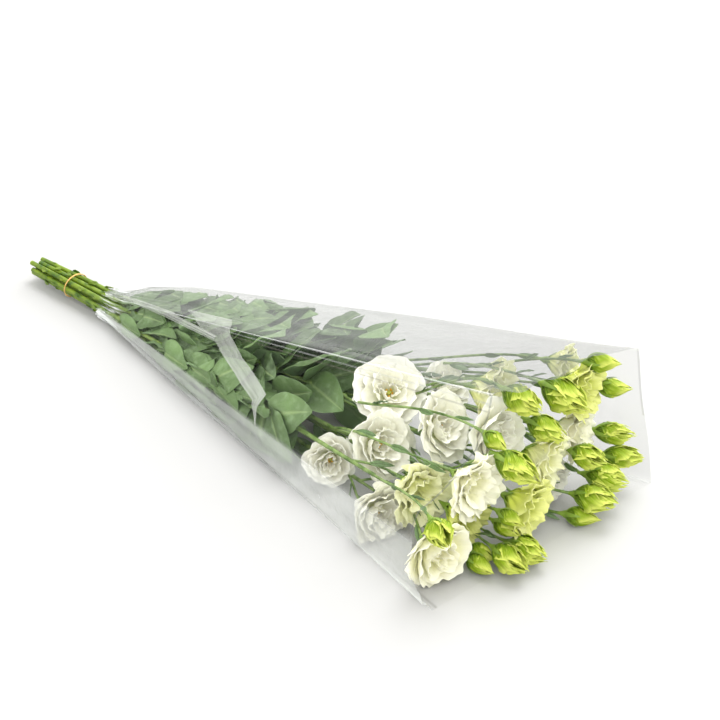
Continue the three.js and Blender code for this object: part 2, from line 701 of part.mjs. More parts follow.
const bunch = buildBunch();
const label = (number) => String(number).padStart(2, '0');
bunch.stems.forEach((solid, i) => {
  addMesh(`stem_${label(i + 1)}`, geometryOf(solid), LEAF_GREEN);
});
bunch.flowers.forEach((solid, i) => {
  addMesh(`bloom_${label(i + 1)}`, geometryOf(solid), FLOWERS[i].tint);
});
bunch.buds.forEach((solid, i) => {
  addMesh(`bud_${label(i + 1)}`, geometryOf(solid), BUD_GREEN);
});
addMesh('sleeve', sleeve(), FILM_CLEAR);
addMesh('rubber_band', rubberBand(), BAND_TAN);

export default group;
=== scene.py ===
import math
from collections import namedtuple
from functools import partialmethod

import bpy
import numpy as np
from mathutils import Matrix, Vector


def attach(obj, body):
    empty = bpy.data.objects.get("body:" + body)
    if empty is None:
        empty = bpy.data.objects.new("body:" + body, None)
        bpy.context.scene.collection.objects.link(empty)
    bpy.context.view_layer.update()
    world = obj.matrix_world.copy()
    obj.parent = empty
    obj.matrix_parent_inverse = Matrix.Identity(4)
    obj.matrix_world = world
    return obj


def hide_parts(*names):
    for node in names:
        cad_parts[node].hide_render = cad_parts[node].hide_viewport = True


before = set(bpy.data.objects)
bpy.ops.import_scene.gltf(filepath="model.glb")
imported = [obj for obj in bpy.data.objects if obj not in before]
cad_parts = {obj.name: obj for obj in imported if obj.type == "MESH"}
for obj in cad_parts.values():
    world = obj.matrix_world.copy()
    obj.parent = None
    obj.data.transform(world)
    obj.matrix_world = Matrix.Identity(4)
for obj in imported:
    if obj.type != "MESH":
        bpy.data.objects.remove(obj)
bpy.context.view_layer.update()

# Sizes in millimetres, in the part's own design frame; to_frame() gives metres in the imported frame
ORIGIN_SHIFT = 12.0
CUT_END_X = -358.0
BAND_X = -304.0
NECK_X = -235.0
BUNDLE_RISE_AT_CUT = 15.5
BUNDLE_RISE_AT_NECK = 15.3
STEM_RADIUS = 2.5
PEDICEL_RADIUS = 1.15
NECK_HALF_WIDTH = 18.0
NECK_HALF_HEIGHT = 15.0
PRESS_MARGIN = 1.3
TABLE_CLEARANCE = 1.2
FLOOR_FROM = 2 / 7
PUFF_SHARES = (0, 0.05, 1 / 7, 2 / 7, 1)
PUFF_HEIGHTS = (0, 0.54, 0.78, 0.71, 0)
PRESS_END_X = 330.0
NECK_SPREAD = 1.5

# Mouth of the sleeve: position of each corner on the rim, its angle round the gathered neck, and how
# far the film bellies up over a straight line between the two
RIM = [
    ((308, -138, 0.3), 200, 0),
    ((315, -60, 0.3), 232, 0),
    ((323, 45, 0.3), 290, 0),
    ((330, 138, 0.3), 335, 0),
    ((320, 134, 70), 360, 6),
    ((313, 126, 140), 392, 22),
    ((297, 82, 146), 418, 16),
    ((302, 22, 153), 442, 8),
    ((302, -14, 160), 457, 3),
    ((295, -49, 167), 472, 0),
    ((298, -70, 124), 495, 0),
    ((277, -118, 76), 520, 0),
    ((273, -129, 34), 538, 0),
    ((288, -134, 8), 550, 0),
]

# Stems: place in the bundle at the cut ends, and where the main stem ends among the flowers
STEMS = [
    ((-6, -5.2), (150, -54, 13)),
    ((-9, 0), (196, -88, 60)),
    ((-3, 0), (110, -46, 48)),
    ((0, -5.2), (160, -18, 16)),
    ((-6, 5.2), (100, -22, 68)),
    ((0, 5.2), (125, 8, 62)),
    ((3, 0), (160, 14, 38)),
    ((6, -5.2), (170, 42, 14)),
    ((9, 0), (150, 62, 46)),
    ((6, 5.2), (130, 46, 78)),
]

# Flowers: kind, stem that carries each, middle, direction, radius, depth and colour
FLOWER_ROWS = [
    ("open", 5, (140, -8, 84), (0.45, -0.4, 0.8), 29, 24, "white"),
    ("open", 3, (163, -45, 56), (0.85, -0.2, 0.4), 27, 26, "white"),
    ("open", 2, (118, -62, 26), (0.6, -0.7, 0.2), 21, 22, "white"),
    ("open", 6, (166, 40, 80), (0.6, 0.1, 0.8), 19, 22, "white"),
    ("open", 5, (206, -12, 78), (0.8, 0.05, 0.5), 26, 24, "white"),
    ("open", 6, (258, -2, 88), (0.9, 0.0, 0.25), 27, 26, "white"),
    ("bell", 10, (214, 40, 95), (0.9, 0.25, 0.0), 21, 34, "pale"),
    ("open", 1, (199, -87, 19), (0.92, -0.2, 0.15), 26, 26, "white"),
    ("open", 1, (281, -104, 30), (0.93, -0.25, -0.06), 28, 30, "cream"),
    ("bell", 2, (226, -67, 50), (0.93, -0.25, 0.1), 22, 36, "pale"),
    ("bell", 3, (275, -55, 73), (0.97, -0.1, -0.05), 21, 34, "cream"),
    ("bell", 4, (267, -54, 33), (0.95, 0.0, -0.15), 16.5, 34, "lime"),
    ("bell", 7, (300, -12, 40), (0.95, 0.15, -0.15), 21, 34, "lime"),
    ("bell", 7, (287, 29, 63), (0.93, 0.28, -0.12), 21, 34, "pale"),
    ("bell", 9, (277, 82, 60), (0.9, 0.25, 0.1), 20, 32, "cream"),
    ("bell", 10, (277, 87, 103), (0.95, 0.16, 0.06), 19.5, 36, "lime"),
    ("bell", 10, (248, 101, 110), (0.9, 0.2, 0.05), 14, 28, "pale"),
    ("open", 8, (277, 54, 21), (0.95, 0.05, -0.1), 20, 24, "white"),
]

# Buds: the same, without kind and colour
BUD_ROWS = [
    (6, (305, -32, 93), (0.93, 0.1, -0.2), 10.5, 34),
    (10, (286, 55, 116), (0.95, 0.15, -0.2), 12, 38),
    (6, (273, 13, 125), (0.93, 0.1, -0.2), 10, 32),
    (6, (291, 25, 97), (0.95, 0.15, -0.15), 9, 30),
    (10, (293, 102, 130), (0.85, 0.35, 0.15), 7.5, 28),
    (10, (297, 117, 98), (0.85, 0.4, 0.12), 7.5, 28),
    (9, (299, 114, 53), (0.85, 0.45, 0.05), 8, 30),
    (9, (312, 112, 34), (0.85, 0.5, 0.05), 8, 30),
    (9, (312, 61, 60), (0.95, 0.15, 0.0), 8.5, 28),
    (8, (320, 78, 32), (0.9, 0.4, 0.0), 10, 32),
    (8, (327, 53, 26), (0.95, 0.3, 0.05), 10, 32),
    (8, (324, 43, 9.5), (0.9, 0.45, 0.0), 7, 28),
    (5, (281, -28, 105), (0.9, -0.1, -0.1), 6.5, 24),
    (2, (299, -121, 69), (0.85, -0.3, -0.25), 9.5, 24),
    (4, (322, -56, 18), (0.95, -0.15, 0.02), 9.5, 34),
    (4, (322, -33.5, 14.5), (0.95, 0.1, 0.0), 9.5, 32),
    (1, (305, -72.5, 10.5), (0.9, -0.1, 0.0), 7, 28),
    (3, (312, -42, 47), (0.95, -0.05, 0.0), 6, 24),
    (1, (295, -58, 10), (0.95, 0.05, 0.0), 6.5, 24),
    (4, (304, -37, 30), (0.95, -0.1, 0.05), 6.5, 26),
]
BUD_NUMBERS = 100

# Layers of petals: how many, shift round, half width as an angle, then reach and rise, each as its
# start, the place of its middle, its middle and its end
LAYERS = {
    "open": [
        (5, 0.0, 1.02, (0.09, 0.5, 0.74, 1.04), (0.05, 0.5, 0.46, 0.74)),
        (4, 0.5, 1.12, (0.08, 0.5, 0.62, 0.78), (0.07, 0.5, 0.54, 1.0)),
        (3, 0.25, 1.3, (0.07, 0.5, 0.42, 0.44), (0.1, 0.5, 0.58, 1.06)),
        (3, 0.6, 1.25, (0.06, 0.5, 0.24, 0.15), (0.1, 0.5, 0.52, 0.94)),
    ],
    "bell": [
        (5, 0.0, 0.96, (0.14, 0.5, 0.64, 0.98), (0.03, 0.5, 0.48, 0.95)),
        (4, 0.5, 1.08, (0.12, 0.5, 0.54, 0.74), (0.05, 0.5, 0.53, 1.06)),
        (3, 0.2, 1.3, (0.08, 0.5, 0.4, 0.34), (0.06, 0.5, 0.54, 1.08)),
    ],
    "loose": [
        (5, 0.0, 0.98, (0.26, 0.42, 0.9, 0.5), (0.0, 0.5, 0.46, 1.02)),
        (4, 0.5, 1.1, (0.22, 0.42, 0.76, 0.28), (0.0, 0.5, 0.52, 1.14)),
        (3, 0.2, 1.3, (0.18, 0.42, 0.54, 0.04), (0.0, 0.5, 0.54, 1.2)),
    ],
    "tight": [
        (5, 0.0, 1.0, (0.34, 0.4, 1.0, 0.1), (0.0, 0.5, 0.44, 1.02)),
        (3, 0.3, 1.3, (0.2, 0.42, 0.7, 0.03), (0.0, 0.5, 0.5, 1.12)),
    ],
}

# Petals by form: broad folds, fine frill, lip thrown out, ragged teeth and lengthwise ribs as shares
# of the radius; how far and how sharply a petal's sides fall behind its middle; twist, size and quads
Form = namedtuple("Form", "fold frill flare teeth ribs fall sharpness twist growth across")
FORMS = {
    "open": Form(0.085, 0.07, 0.08, 0.055, 0.014, 0.2, 3.0, 0.25, 1.07, 30),
    "bell": Form(0.075, 0.095, 0.24, 0.07, 0.03, 0.26, 2.0, 0.4, 1.2, 32),
    "loose": Form(0.07, 0.1, 0.14, 0.1, 0.05, 0.5, 1.4, 1.3, 1.22, 24),
    "tight": Form(0.03, 0.03, 0.0, 0.02, 0.05, 0.4, 1.6, 1.8, 1.12, 14),
}
PETAL_THICKNESS = 0.35
PETAL_ALONG = 10
FOLD_WAVES = 3.4
FRILL_WAVES = (8, 15)
TEETH_WAVES = (13, 23)
RIB_WAVES = 12
FLARE_FROM = 0.7
REACH_RANGE = (0.93, 1.05)
RISE_RANGE = (0.95, 1.05)
EDGE_DROP = 0.06
OVERLAP = 0.055
TURN_JITTER = 0.4
LOOSE_FROM_RADIUS = 7.8

# Heart of an open flower
PISTIL_HEIGHT = 0.42
PISTIL_FULL_AT = 27
ANTHER_COUNT = 5
ANTHER_REACH = 0.11
ANTHER_HEIGHT = (0.36, 0.42)

# Stems and side stalks, and the tries that the part makes for a free way for each stalk
CURVE_SAMPLES = 6001
PEDICEL_TRIES = 240
CUT_SPREAD = 9
FAN_SHARES = (0.12, 0.4, 0.7, 1)
LEAVING_SHARE = 0.4
STALK_HANDLES = (0.33, 0.3)
FOOT_DEPTH = 5.5
FORK_BACK = (40, 150)
STALK_CLEARANCE = 6
STEM_ROWS = 90
STALK_ROWS = 26
TIP_SHARE = 0.72
TAPER_LENGTH = 420
JOINT_SWELL = 0.45
JOINT_HALF_LENGTH = 3.5

# How near a corner of the CAD has to be to tell which try the part kept; half its leaves' thickness
MATCH_WITHIN = 0.03
CAD_LEAF_HALF = 0.35

# Cups and sepals under the heads
SEPAL_SHARE = {"open": 0.22, "bell": 0.32, "bud": 0.5}
SEPAL_COUNT = 5
SEPAL_HALF_WIDTH = 2.6
SEPAL_FOOT = 2.2
SEPAL_THICKNESS = 0.4
CUP_HEIGHTS = (-8, -0.5)
CUP_RADII = (1.3, 3.612)

# Larger leaves along the stems
LEAF_NODES = [-200, -128, -50, 35]
LEAF_NODE_SPREAD = 34
LEAF_TRIES = 40
LEAF_THICKNESS = 0.5
LEAF_LENGTH = 66.0
LEAF_WIDTH_SHARE = 0.56
LEAF_SIZES = [1, 1, 0.85, 0.7, 0.55]
LEAF_TURN = 0.9
LEAF_TURN_JITTER = 2.6
LEAF_TILT = (0.35, 0.8)
NECK_LEAF_SIZE = 0.7
FULL_LEAF_AFTER = 120
LEAF_CURL = 0.12
FAN_MIDDLE_RISE = 44
FAN_LENGTH = 380
LEAF_FULLNESS = 0.53
LEAF_TAPER = 0.85
LEAF_ACROSS = 12
LEAF_ALONG = 24
LEAF_WAVE = 1.1
LEAF_WAVES = 15
# Depth past the press margin at which a leaf's painted shade is at its darkest
SHADE_DEPTH = 9
END_MARGIN = 6
LEAF_GROOVE = 0.5

# Smaller leaves by kind: range of tilts from the stem, range of lengths, width as a share of length,
# range of depths under the film, and quads across and along, with the material's number
Kind = namedtuple("Kind", "tilts lengths width_share depths detail")
EXTRA = Kind((0.25, 0.65), (48, 72), 0.62, (2.2, 12.0), (8, 14))
WALL = Kind((0.65, 1.15), (58, 84), 0.62, (1.4, 4.0), (8, 16))
STUB = Kind((0.1, 0.4), (6, 12), 0.5, (PRESS_MARGIN, PRESS_MARGIN), (6, 8, 0))
BRACT = Kind((0.25, 0.55), (13, 26), 0.24, (PRESS_MARGIN, PRESS_MARGIN), (6, 10))

# Where they grow: places along the stem or the side stalk, and the seed of the first
EXTRA_NODES = [-214, -188, -162, -106, -78, -24]
EXTRA_NODE_SPREAD = 26
EXTRA_SEED = 200
WALL_NODE_SPREAD = 30
STUB_NODES = [-342, -322, -284, -264]
STUB_NODE_SPREAD = 14
STUB_SEED = 500
BRACT_PLACES = [0.34, 0.66, 0.86]
BRACT_SEED = 300

# Leaves against the film: stems, places along them, range of half turns, facing and first seed
TOP_NODES = [-216, -194, -170, -146, -118, -90, -62, -34, -4, 26, 54]
LOW_NODES = [-140, -112, -84, -56, -28, 0, 22]
TOP_LEAVES = ((5, 6, 7, 9, 10), TOP_NODES, (0.2, 0.52), [0, 0.2, 1.0], 400)
LOW_LEAVES = ((1, 2, 3, 4), LOW_NODES, (0.9, 1.16), [0, -0.6, 0.8], 600)

# Angles, in degrees, from which an edge stays sharp
SHARP_FROM = 50
FILM_SHARP_FROM = 35

# Film
FILM_ACROSS = 16
FILM_LIFT = 1.2
GATHER_HEIGHT = 2.6
GATHER_LENGTH = 0.07
PLEAT_WAVES = (9.5, 15.5)
CREASE_WAVES = (7, 12)
MOUTH_WAVES = 11
MOUTH_WAVE = 1.6
FLOOR_RELIEF = 0.12
FILM_SHARES = np.concatenate([np.linspace(-0.028, 0, 5)[:-1], np.linspace(0, 1, 131)])

# Doubled strips where the film overlaps: for each of the two edges of a strip, its places on the rim
# and then its shares along the film
STRIPS = [
    (
        (8.12, 8.17, 8.24, 9.25, 10.03, 10.49, 10.65, 11.68),
        (0.208, 0.275, 0.328, 0.357, 0.406, 0.494, 0.526, 0.536),
        (8.18, 9.27, 9.67, 10.07, 10.33, 10.73, 10.94, 11.68),
        (0.204, 0.266, 0.311, 0.342, 0.381, 0.453, 0.508, 0.536),
    ),
    (
        (7.9, 8.72, 9.21, 9.49),
        (0.018, 0.136, 0.235, 0.322),
        (8.84, 9.29, 9.61, 9.79),
        (0.028, 0.14, 0.234, 0.317),
    ),
]
STRIP_COLUMNS = 13
STRIP_ROWS = 90
STRIP_U = 2.0

# Painted shade: dark lines beside folds, where the film is seen edge on
FOLD_SHADE_LINES = [(13.88, 0.5), (9.3, 0.42), (0.07, 0.3)]
FOLD_SHADE_WIDTH = 0.035

# Painted highlights where the film is folded: a place on the rim for each fold, with how strong its
# painted highlight is
FOLD_HIGHLIGHTS = [(0.0, 0.55), (14.0, 0.55), (3.0, 0.3), (5.0, 0.35), (9.0, 0.6), (9.16, 0.35), (11.7, 0.25)]
FOLD_HIGHLIGHT_WIDTH = 0.045

# Haze of the film by place on the rim: floor, far wall, top, clear near side and doubled near edge
HAZE = [
    (0.0, 0.04), (2.9, 0.04), (3.1, 0.24), (4.9, 0.24), (5.2, 0.34),
    (8.7, 0.34), (9.1, 0.04), (11.5, 0.04), (11.7, 0.36), (13.95, 0.36),
]

# Grey of the film at the same kind of places, 0 to 255
GREY = [
    (0.0, 176), (4.9, 136), (5.2, 140), (8.9, 146),
    (9.2, 96), (11.5, 104), (11.75, 226), (13.95, 226),
]
# Share of painted shade towards the rim, away from the near edge
MOUTH_SHADE = 0.58
NEAR_EDGE = 9.5
MOUTH_FROM = 0.45

# Rubber band
BAND_HALF_WIDTH = 15.0
BAND_HALF_HEIGHT = 11.7
BAND_CORD_RADIUS = 0.558
BAND_ROUNDS = 2
BAND_WEAVE = 0.85
BAND_STAGGER = 0.2
BAND_POINTS = 192
BAND_SIDES = 10

# Colours of the petals, 0 to 255: at the base, on the body and at the lip
PETAL_COLOURS = {
    "white": ((214, 221, 136), (249, 248, 230), (250, 249, 237)),
    "cream": ((206, 218, 106), (249, 248, 202), (252, 250, 226)),
    "pale": ((164, 190, 50), (238, 241, 158), (248, 248, 202)),
    "lime": ((124, 160, 24), (198, 210, 78), (228, 232, 138)),
}

# How deep red, green and blue light go into petals, green things and rubber
PETAL_DEPTHS = (0.9, 0.9, 0.8)
GREEN_DEPTHS = (0.5, 0.8, 0.2)
RUBBER_DEPTHS = (1.0, 0.5, 0.2)
SCREEN_GAMMA = 2.2

# Floor, lights with their place, size and power, and camera, in metres and watts
FLOOR_SIZE = 6.0
FLOOR_GREY = 0.485
LIGHTS = [
    ("key", (0.0, 0.75, 1.85), 1.4, 27),
    ("back", (-0.1, 1.7, 0.9), 1.6, 16),
    ("fill", (1.4, -1.0, 1.6), 1.4, 12),
]
WORLD_COLOUR = (1, 0.99, 0.965, 1)
WORLD_STRENGTH = 1.38
SENSOR_WIDTH = 36
CAMERA_AT = Vector((1.3047, -1.2815, 1.1908))
CAMERA_AIM = Vector((0.0046, 0.1117, 0.0))
CAMERA_ANGLE = math.radians(18)


class Head:
    """A flower or bud, and points round its axis; the lips of a larger bud have come loose."""

    def __init__(self, number, kind, stem, at, face, radius, depth, tint):
        self.number = number
        self.roll = draw(number, 1, 1) * math.tau
        self.kind = kind
        form = kind
        if kind == "bud":
            form = "loose" if radius > LOOSE_FROM_RADIUS else "tight"
        self.form = FORMS[form]
        self.layers = LAYERS[form]
        self.stem = stem
        self.radius = radius
        self.depth = depth
        self.tint = tint
        self.axis = unit(np.array(face, float))
        self.side = unit(np.cross([0, 0, 1], self.axis))
        self.up = np.cross(self.axis, self.side)
        self.base = np.array(at, float) - self.axis * depth / 2

    def point(self, radius, turn, height):
        """Points of the head from radius, turn and height over its base."""
        radius, turn, height = np.broadcast_arrays(radius, turn, height)
        across = (radius * np.cos(turn + self.roll))[..., None] * self.side
        upward = (radius * np.sin(turn + self.roll))[..., None] * self.up
        return self.base + across + upward + height[..., None] * self.axis


def unit(v):
    return v / np.linalg.norm(v)


def units(rows):
    """Every row of an array at length 1."""
    return rows / np.maximum(np.linalg.norm(rows, axis=-1, keepdims=True), 1e-9)


def square_to(way, v):
    """Direction of the part of a vector that is at right angles to a way."""
    return unit(v - way * np.dot(v, way))


def even(count):
    """Even steps from 0 to 1."""
    return np.linspace(0, 1, count)


def blade_steps(across, along):
    """Places over a blade: u from -1 to 1 across, and v from 0 to 1 along."""
    return np.linspace(-1, 1, across + 1)[None, :], even(along + 1)[:, None]


def draw(a, b, c):
    """Seeded draw between 0 and 1 for a piece, a part of it and a purpose."""
    value = math.sin(a * 12.9898 + b * 78.233 + c * 37.719) * 43758.5453
    return value - math.floor(value)


def jitter(a, b, c, width):
    """Seeded draw over a width, to both sides of 0."""
    return (draw(a, b, c) - 0.5) * width


def lerp(a, b, t):
    return a + (b - a) * t


def hump(v, middle, width):
    """Smooth hump of height 1."""
    return np.exp(-(((v - middle) / width) ** 2))


def lean(way, radial, tilt):
    """Direction that leans away from one direction towards another."""
    return unit(way * math.cos(tilt) + radial * math.sin(tilt))


def to_frame(points):
    return (np.asarray(points, float) + [ORIGIN_SHIFT, 0, 0]) / 1000


def add_object(name, data):
    thing = bpy.data.objects.new(name, data)
    bpy.context.scene.collection.objects.link(thing)
    return thing


FLOWERS = [Head(index + 1, *row) for index, row in enumerate(FLOWER_ROWS)]
BUDS = [Head(index + 1 + BUD_NUMBERS, "bud", *row, "bud") for index, row in enumerate(BUD_ROWS)]
HEADS = FLOWERS + BUDS


# The film of the sleeve: lines from the gathered neck to the rim, bellying up on top
def film_point(at, turn, puff, share):
    """Points on one line of the film; share is 0 at the neck and 1 at the rim."""
    share = np.asarray(share, float)
    turn = math.radians(turn)
    on_floor = at[2] < 1
    settle = 1 - (1 - np.minimum(1, share / FLOOR_FROM)) ** 2 if on_floor else share
    x = lerp(NECK_X, at[0], share)
    y = lerp(NECK_HALF_WIDTH * math.cos(turn), at[1], share)
    z = lerp(BUNDLE_RISE_AT_NECK + NECK_HALF_HEIGHT * math.sin(turn), at[2], settle)
    z = z + puff * np.interp(share, PUFF_SHARES, PUFF_HEIGHTS)
    return np.stack([x, y, z], -1)


def press(points, margin=PRESS_MARGIN):
    """Moves points that would stand outside the film, or under the table, back inside."""
    shape = points.shape
    flat = points.reshape(-1, 3).copy()
    near = (flat[:, 0] > NECK_X) & (flat[:, 0] < PRESS_END_X)
    p = flat[near]
    lines = []
    for at, turn, puff in RIM:
        share = np.maximum(0, (p[:, 0] - NECK_X) / (at[0] - NECK_X))
        lines.append(film_point(at, turn, puff, share)[:, 1:])
    section = np.stack(lines, 1)
    section[..., 1] = np.maximum(section[..., 1], 0.3)
    middle = section.mean(1)
    offset = p[:, 1:] - middle
    reach = np.linalg.norm(offset, axis=1)
    waiting = reach > 0
    for i in range(len(RIM)):
        j = (i + 1) % len(RIM)
        a = section[:, i] - middle
        b = section[:, j] - middle
        side_a, side_b = (e[:, 0] * offset[:, 1] - e[:, 1] * offset[:, 0] for e in (a, b))
        ahead = ((a + b) * offset).sum(1) > 0
        film_end = min(RIM[i][0][0], RIM[j][0][0]) + 3
        here = waiting & (side_a * side_b <= 0) & ahead & (p[:, 0] < film_end)
        gap = side_a - side_b
        t = side_a / np.where(gap == 0, 1, gap)
        limit = np.linalg.norm(lerp(a, b, t[:, None]), axis=1) - margin
        outside = here & (reach > limit)
        scale = np.where(outside, limit / np.maximum(reach, 1e-9), 1)
        p[:, 1:] = middle + (p[:, 1:] - middle) * scale[:, None]
        waiting &= ~here
    flat[near] = p
    flat[:, 2] = np.maximum(flat[:, 2], TABLE_CLEARANCE)
    return flat.reshape(shape)


# Meshes
class Piece:
    """One object, gathered from grids of points with a material and a UV place each."""

    def __init__(self, name, materials):
        self.name = name
        self.materials = materials
        self.points = []
        self.tones = []
        self.faces = []
        self.uvs = []
        self.slots = []
        self.count = 0

    def hold(self, points, tone):
        """Adds points; returns the number of the first."""
        self.points.append(points)
        self.tones.append(np.full(len(points), tone))
        self.count += len(points)
        return self.count - len(points)

    def face(self, corners, uvs, slot):
        self.faces.append(corners)
        self.uvs.append(uvs)
        self.slots.append(slot)

    def grid(self, points, us, vs, slot=0, tone=0.5, wrap=False, lids=None):
        """Quads over rows of points; lids closes the two ends as a blade or a tube."""
        rows, cols = points.shape[:2]
        start = self.hold(points.reshape(-1, 3), tone)
        for i in range(rows - 1):
            for j in range(cols if wrap else cols - 1):
                k = (j + 1) % cols
                low, high = start + i * cols, start + (i + 1) * cols
                u0, u1, v0, v1 = us[j], us[j + 1], vs[i], vs[i + 1]
                corners = ((u0, v0), (u1, v0), (u1, v1), (u0, v1))
                self.face((low + j, low + k, high + k, high + j), corners, slot)
        if lids == "blade":
            self.blade_lids(start, rows, cols, us, vs, slot)
        if lids == "tube":
            self.tube_lids(start, points, vs, slot, tone)

    def blade_lids(self, start, rows, cols, us, vs, slot):
        last = start + (rows - 1) * cols
        for j in range(cols // 2 - 1):
            back = cols - 1 - j
            for low, v in ((start, vs[0]), (last, vs[-1])):
                face = (low + j, low + back, low + back - 1, low + j + 1)
                corners = ((us[j], v), (us[j], v), (us[j + 1], v), (us[j + 1], v))
                if low == last:
                    face, corners = face[::-1], corners[::-1]
                self.face(face, corners, slot)

    def tube_lids(self, start, points, vs, slot, tone):
        rows, cols = points.shape[:2]
        for row, v, turned in ((0, vs[0], True), (rows - 1, vs[-1], False)):
            middle = self.hold(points[row].mean(0)[None], tone)
            low = start + row * cols
            for j in range(cols):
                face = (low + j, low + (j + 1) % cols, middle)
                self.face(face[::-1] if turned else face, ((0.5, v),) * 3, slot)

    def blade(self, points, u, v, thickness, slot, tone):
        """A thin closed blade over a grid; its back has UV places from 1 to 2 across."""
        normal = units(np.cross(np.gradient(points, axis=1), np.gradient(points, axis=0)))
        front = points + normal * thickness / 2
        back = points - normal * thickness / 2
        both = np.concatenate([front, back[:, ::-1]], 1)
        us = (u[0] + 1) / 2
        us = np.concatenate([us, 2 - us[::-1], [us[0]]])
        self.grid(both, us, v[:, 0], slot, tone, wrap=True, lids="blade")

    def build(self, replaced, sharp=SHARP_FROM):
        mesh = bpy.data.meshes.new(self.name)
        mesh.from_pydata(to_frame(np.concatenate(self.points)).tolist(), [], self.faces)
        for material in self.materials:
            mesh.materials.append(material)
        mesh.polygons.foreach_set("material_index", self.slots)
        mesh.polygons.foreach_set("use_smooth", [True] * len(self.faces))
        layer = mesh.uv_layers.new(name="UVMap")
        flat_uvs = [value for face in self.uvs for corner in face for value in corner]
        layer.data.foreach_set("uv", flat_uvs)
        tone = mesh.attributes.new("tone", "FLOAT", "POINT")
        tone.data.foreach_set("value", np.concatenate(self.tones))
        mesh.update()
        mesh.set_sharp_from_angle(angle=math.radians(sharp))
        piece = add_object(self.name, mesh)
        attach(piece, "root")
        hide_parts(*replaced)
        return piece


def tube_grid(centres, radii, sides):
    """Rings of points round a line; each ring is turned as little as it can be."""
    ways = units(np.gradient(centres, axis=0))
    normals = [unit(np.cross(ways[0], [0, 0, 1.0]))]
    for way in ways[1:]:
        normals.append(square_to(way, normals[-1]))
    normals = np.array(normals)
    return rings(centres, normals, np.cross(ways, normals), radii, sides)


def rings(centres, normals, others, radii, sides):
    """Rings of points, from two directions for each."""
    turn = np.linspace(0, math.tau, sides, endpoint=False)[None, :, None]
    ring = np.cos(turn) * normals[:, None] + np.sin(turn) * others[:, None]
    return centres[:, None] + ring * np.asarray(radii)[:, None, None]


def add_tube(piece, centres, radii, sides, slot, tone=0.5):
    grid = tube_grid(centres, radii, sides)
    piece.grid(grid, even(sides + 1), even(len(centres)), slot, tone, wrap=True, lids="tube")


def through(curve, share):
    """Smooth curve through a start, a middle at a place of its own, and an end."""
    start, place, middle, end = curve
    at_start = (share - place) / -place * (1 - share)
    at_middle = share / place * (share - 1) / (place - 1)
    at_end = share * (share - place) / (1 - place)
    return start * at_start + middle * at_middle + end * at_end


def add_petal(piece, head, layer, turn, seed):
    """One petal: a blade round the axis, with folds and a frilled lip at right angles to its face."""
    _, _, half, reach_curve, rise_curve = layer
    form = head.form
    u, v = blade_steps(form.across, PETAL_ALONG)
    v = v**0.8
    size = head.radius * form.growth
    rounded = 1 - form.fall * np.abs(u) ** form.sharpness * v
    teeth = 0.6 * np.cos(u * TEETH_WAVES[0] + seed * 40) + 0.4 * np.cos(u * TEETH_WAVES[1] + seed * 71)
    lip = v * rounded + teeth * form.teeth * v**7
    reach = through(reach_curve, lip) * size * lerp(*REACH_RANGE, seed)
    rise = through(rise_curve, lip) * head.depth * lerp(*RISE_RANGE, seed * 7 % 1)
    reach_step = np.gradient(reach, axis=0)
    rise_step = np.gradient(rise, axis=0)
    step = np.hypot(reach_step, rise_step) + 1e-6
    fold = np.cos(u * FOLD_WAVES + seed * 6.3) * form.fold * v**1.6
    frill = 0.6 * np.cos(u * FRILL_WAVES[0] + seed * 17) + 0.4 * np.cos(u * FRILL_WAVES[1] + seed * 29)
    ribs = np.cos(u * RIB_WAVES + seed * 23) * form.ribs * np.sin(math.pi * v)
    wave = (fold + frill * form.frill * v**4 + ribs) * size
    flare = form.flare * size * np.clip((v - FLARE_FROM) / (1 - FLARE_FROM), 0, 1) ** 2
    spread = half * np.minimum(1, 0.3 + 1.6 * v - 0.9 * v**2)
    drop = u**2 * v * head.depth * EDGE_DROP
    overlap = u * OVERLAP * size * np.minimum(1, v * 2)
    radius = reach + overlap + wave * rise_step / step + flare
    height = rise - drop - wave * reach_step / step - flare * 0.4
    angle = turn + u * spread + form.twist * v
    points = press(head.point(np.maximum(radius, 0.3), angle, height))
    piece.blade(points, u, v, PETAL_THICKNESS, 0, seed)


def add_layers(piece, head):
    for ring, layer in enumerate(head.layers):
        for i in range(layer[0]):
            seed = draw(head.number, i, ring + 2)
            turn = (i + layer[1]) / layer[0] * math.tau - head.form.twist * 0.5
            turn += jitter(head.number, i, ring + 12, TURN_JITTER)
            add_petal(piece, head, layer, turn, seed)


def add_heart(piece, head):
    """Pistil, thicker at its foot and tip, and a ring of anthers round it."""
    v = even(12)
    line = head.point(0, 0, v * head.depth * PISTIL_HEIGHT)
    swell = 0.6 + 1.7 * hump(v, 0.16, 0.16) + 1.3 * hump(v, 0.97, 0.08)
    add_tube(piece, line, swell * head.radius / PISTIL_FULL_AT, 10, 1)
    for i in range(ANTHER_COUNT):
        turn = (i + 0.5) / ANTHER_COUNT * math.tau
        tip_reach = head.radius * ANTHER_REACH
        tip_height = head.depth * lerp(*ANTHER_HEIGHT, draw(head.number, i, 61))
        stalk = head.point(even(7) * tip_reach, turn, even(7) * tip_height)
        add_tube(piece, stalk, np.full(7, 0.28), 6, 1)
        along = np.linspace(-1, 1, 8)
        radii = 0.15 + 0.8 * np.sqrt(np.maximum(0, 1 - along**2))
        anther = head.point(tip_reach + along * 0.3, turn + along * 0.35, tip_height + 1.4 * along)
        add_tube(piece, anther, radii, 8, 2)


def make_flower(head):
    name = f"bloom_{head.number:02d}"
    piece = Piece(f"{name}_petals", [PETALS[head.tint], PISTIL, ANTHER])
    add_layers(piece, head)
    if head.kind == "open":
        add_heart(piece, head)
    piece.build([name])


def make_bud(head):
    """Furled petals twisted into a cone."""
    name = f"bud_{head.number - BUD_NUMBERS:02d}"
    piece = Piece(f"{name}_petals", [BUD])
    add_layers(piece, head)
    piece.build([name])


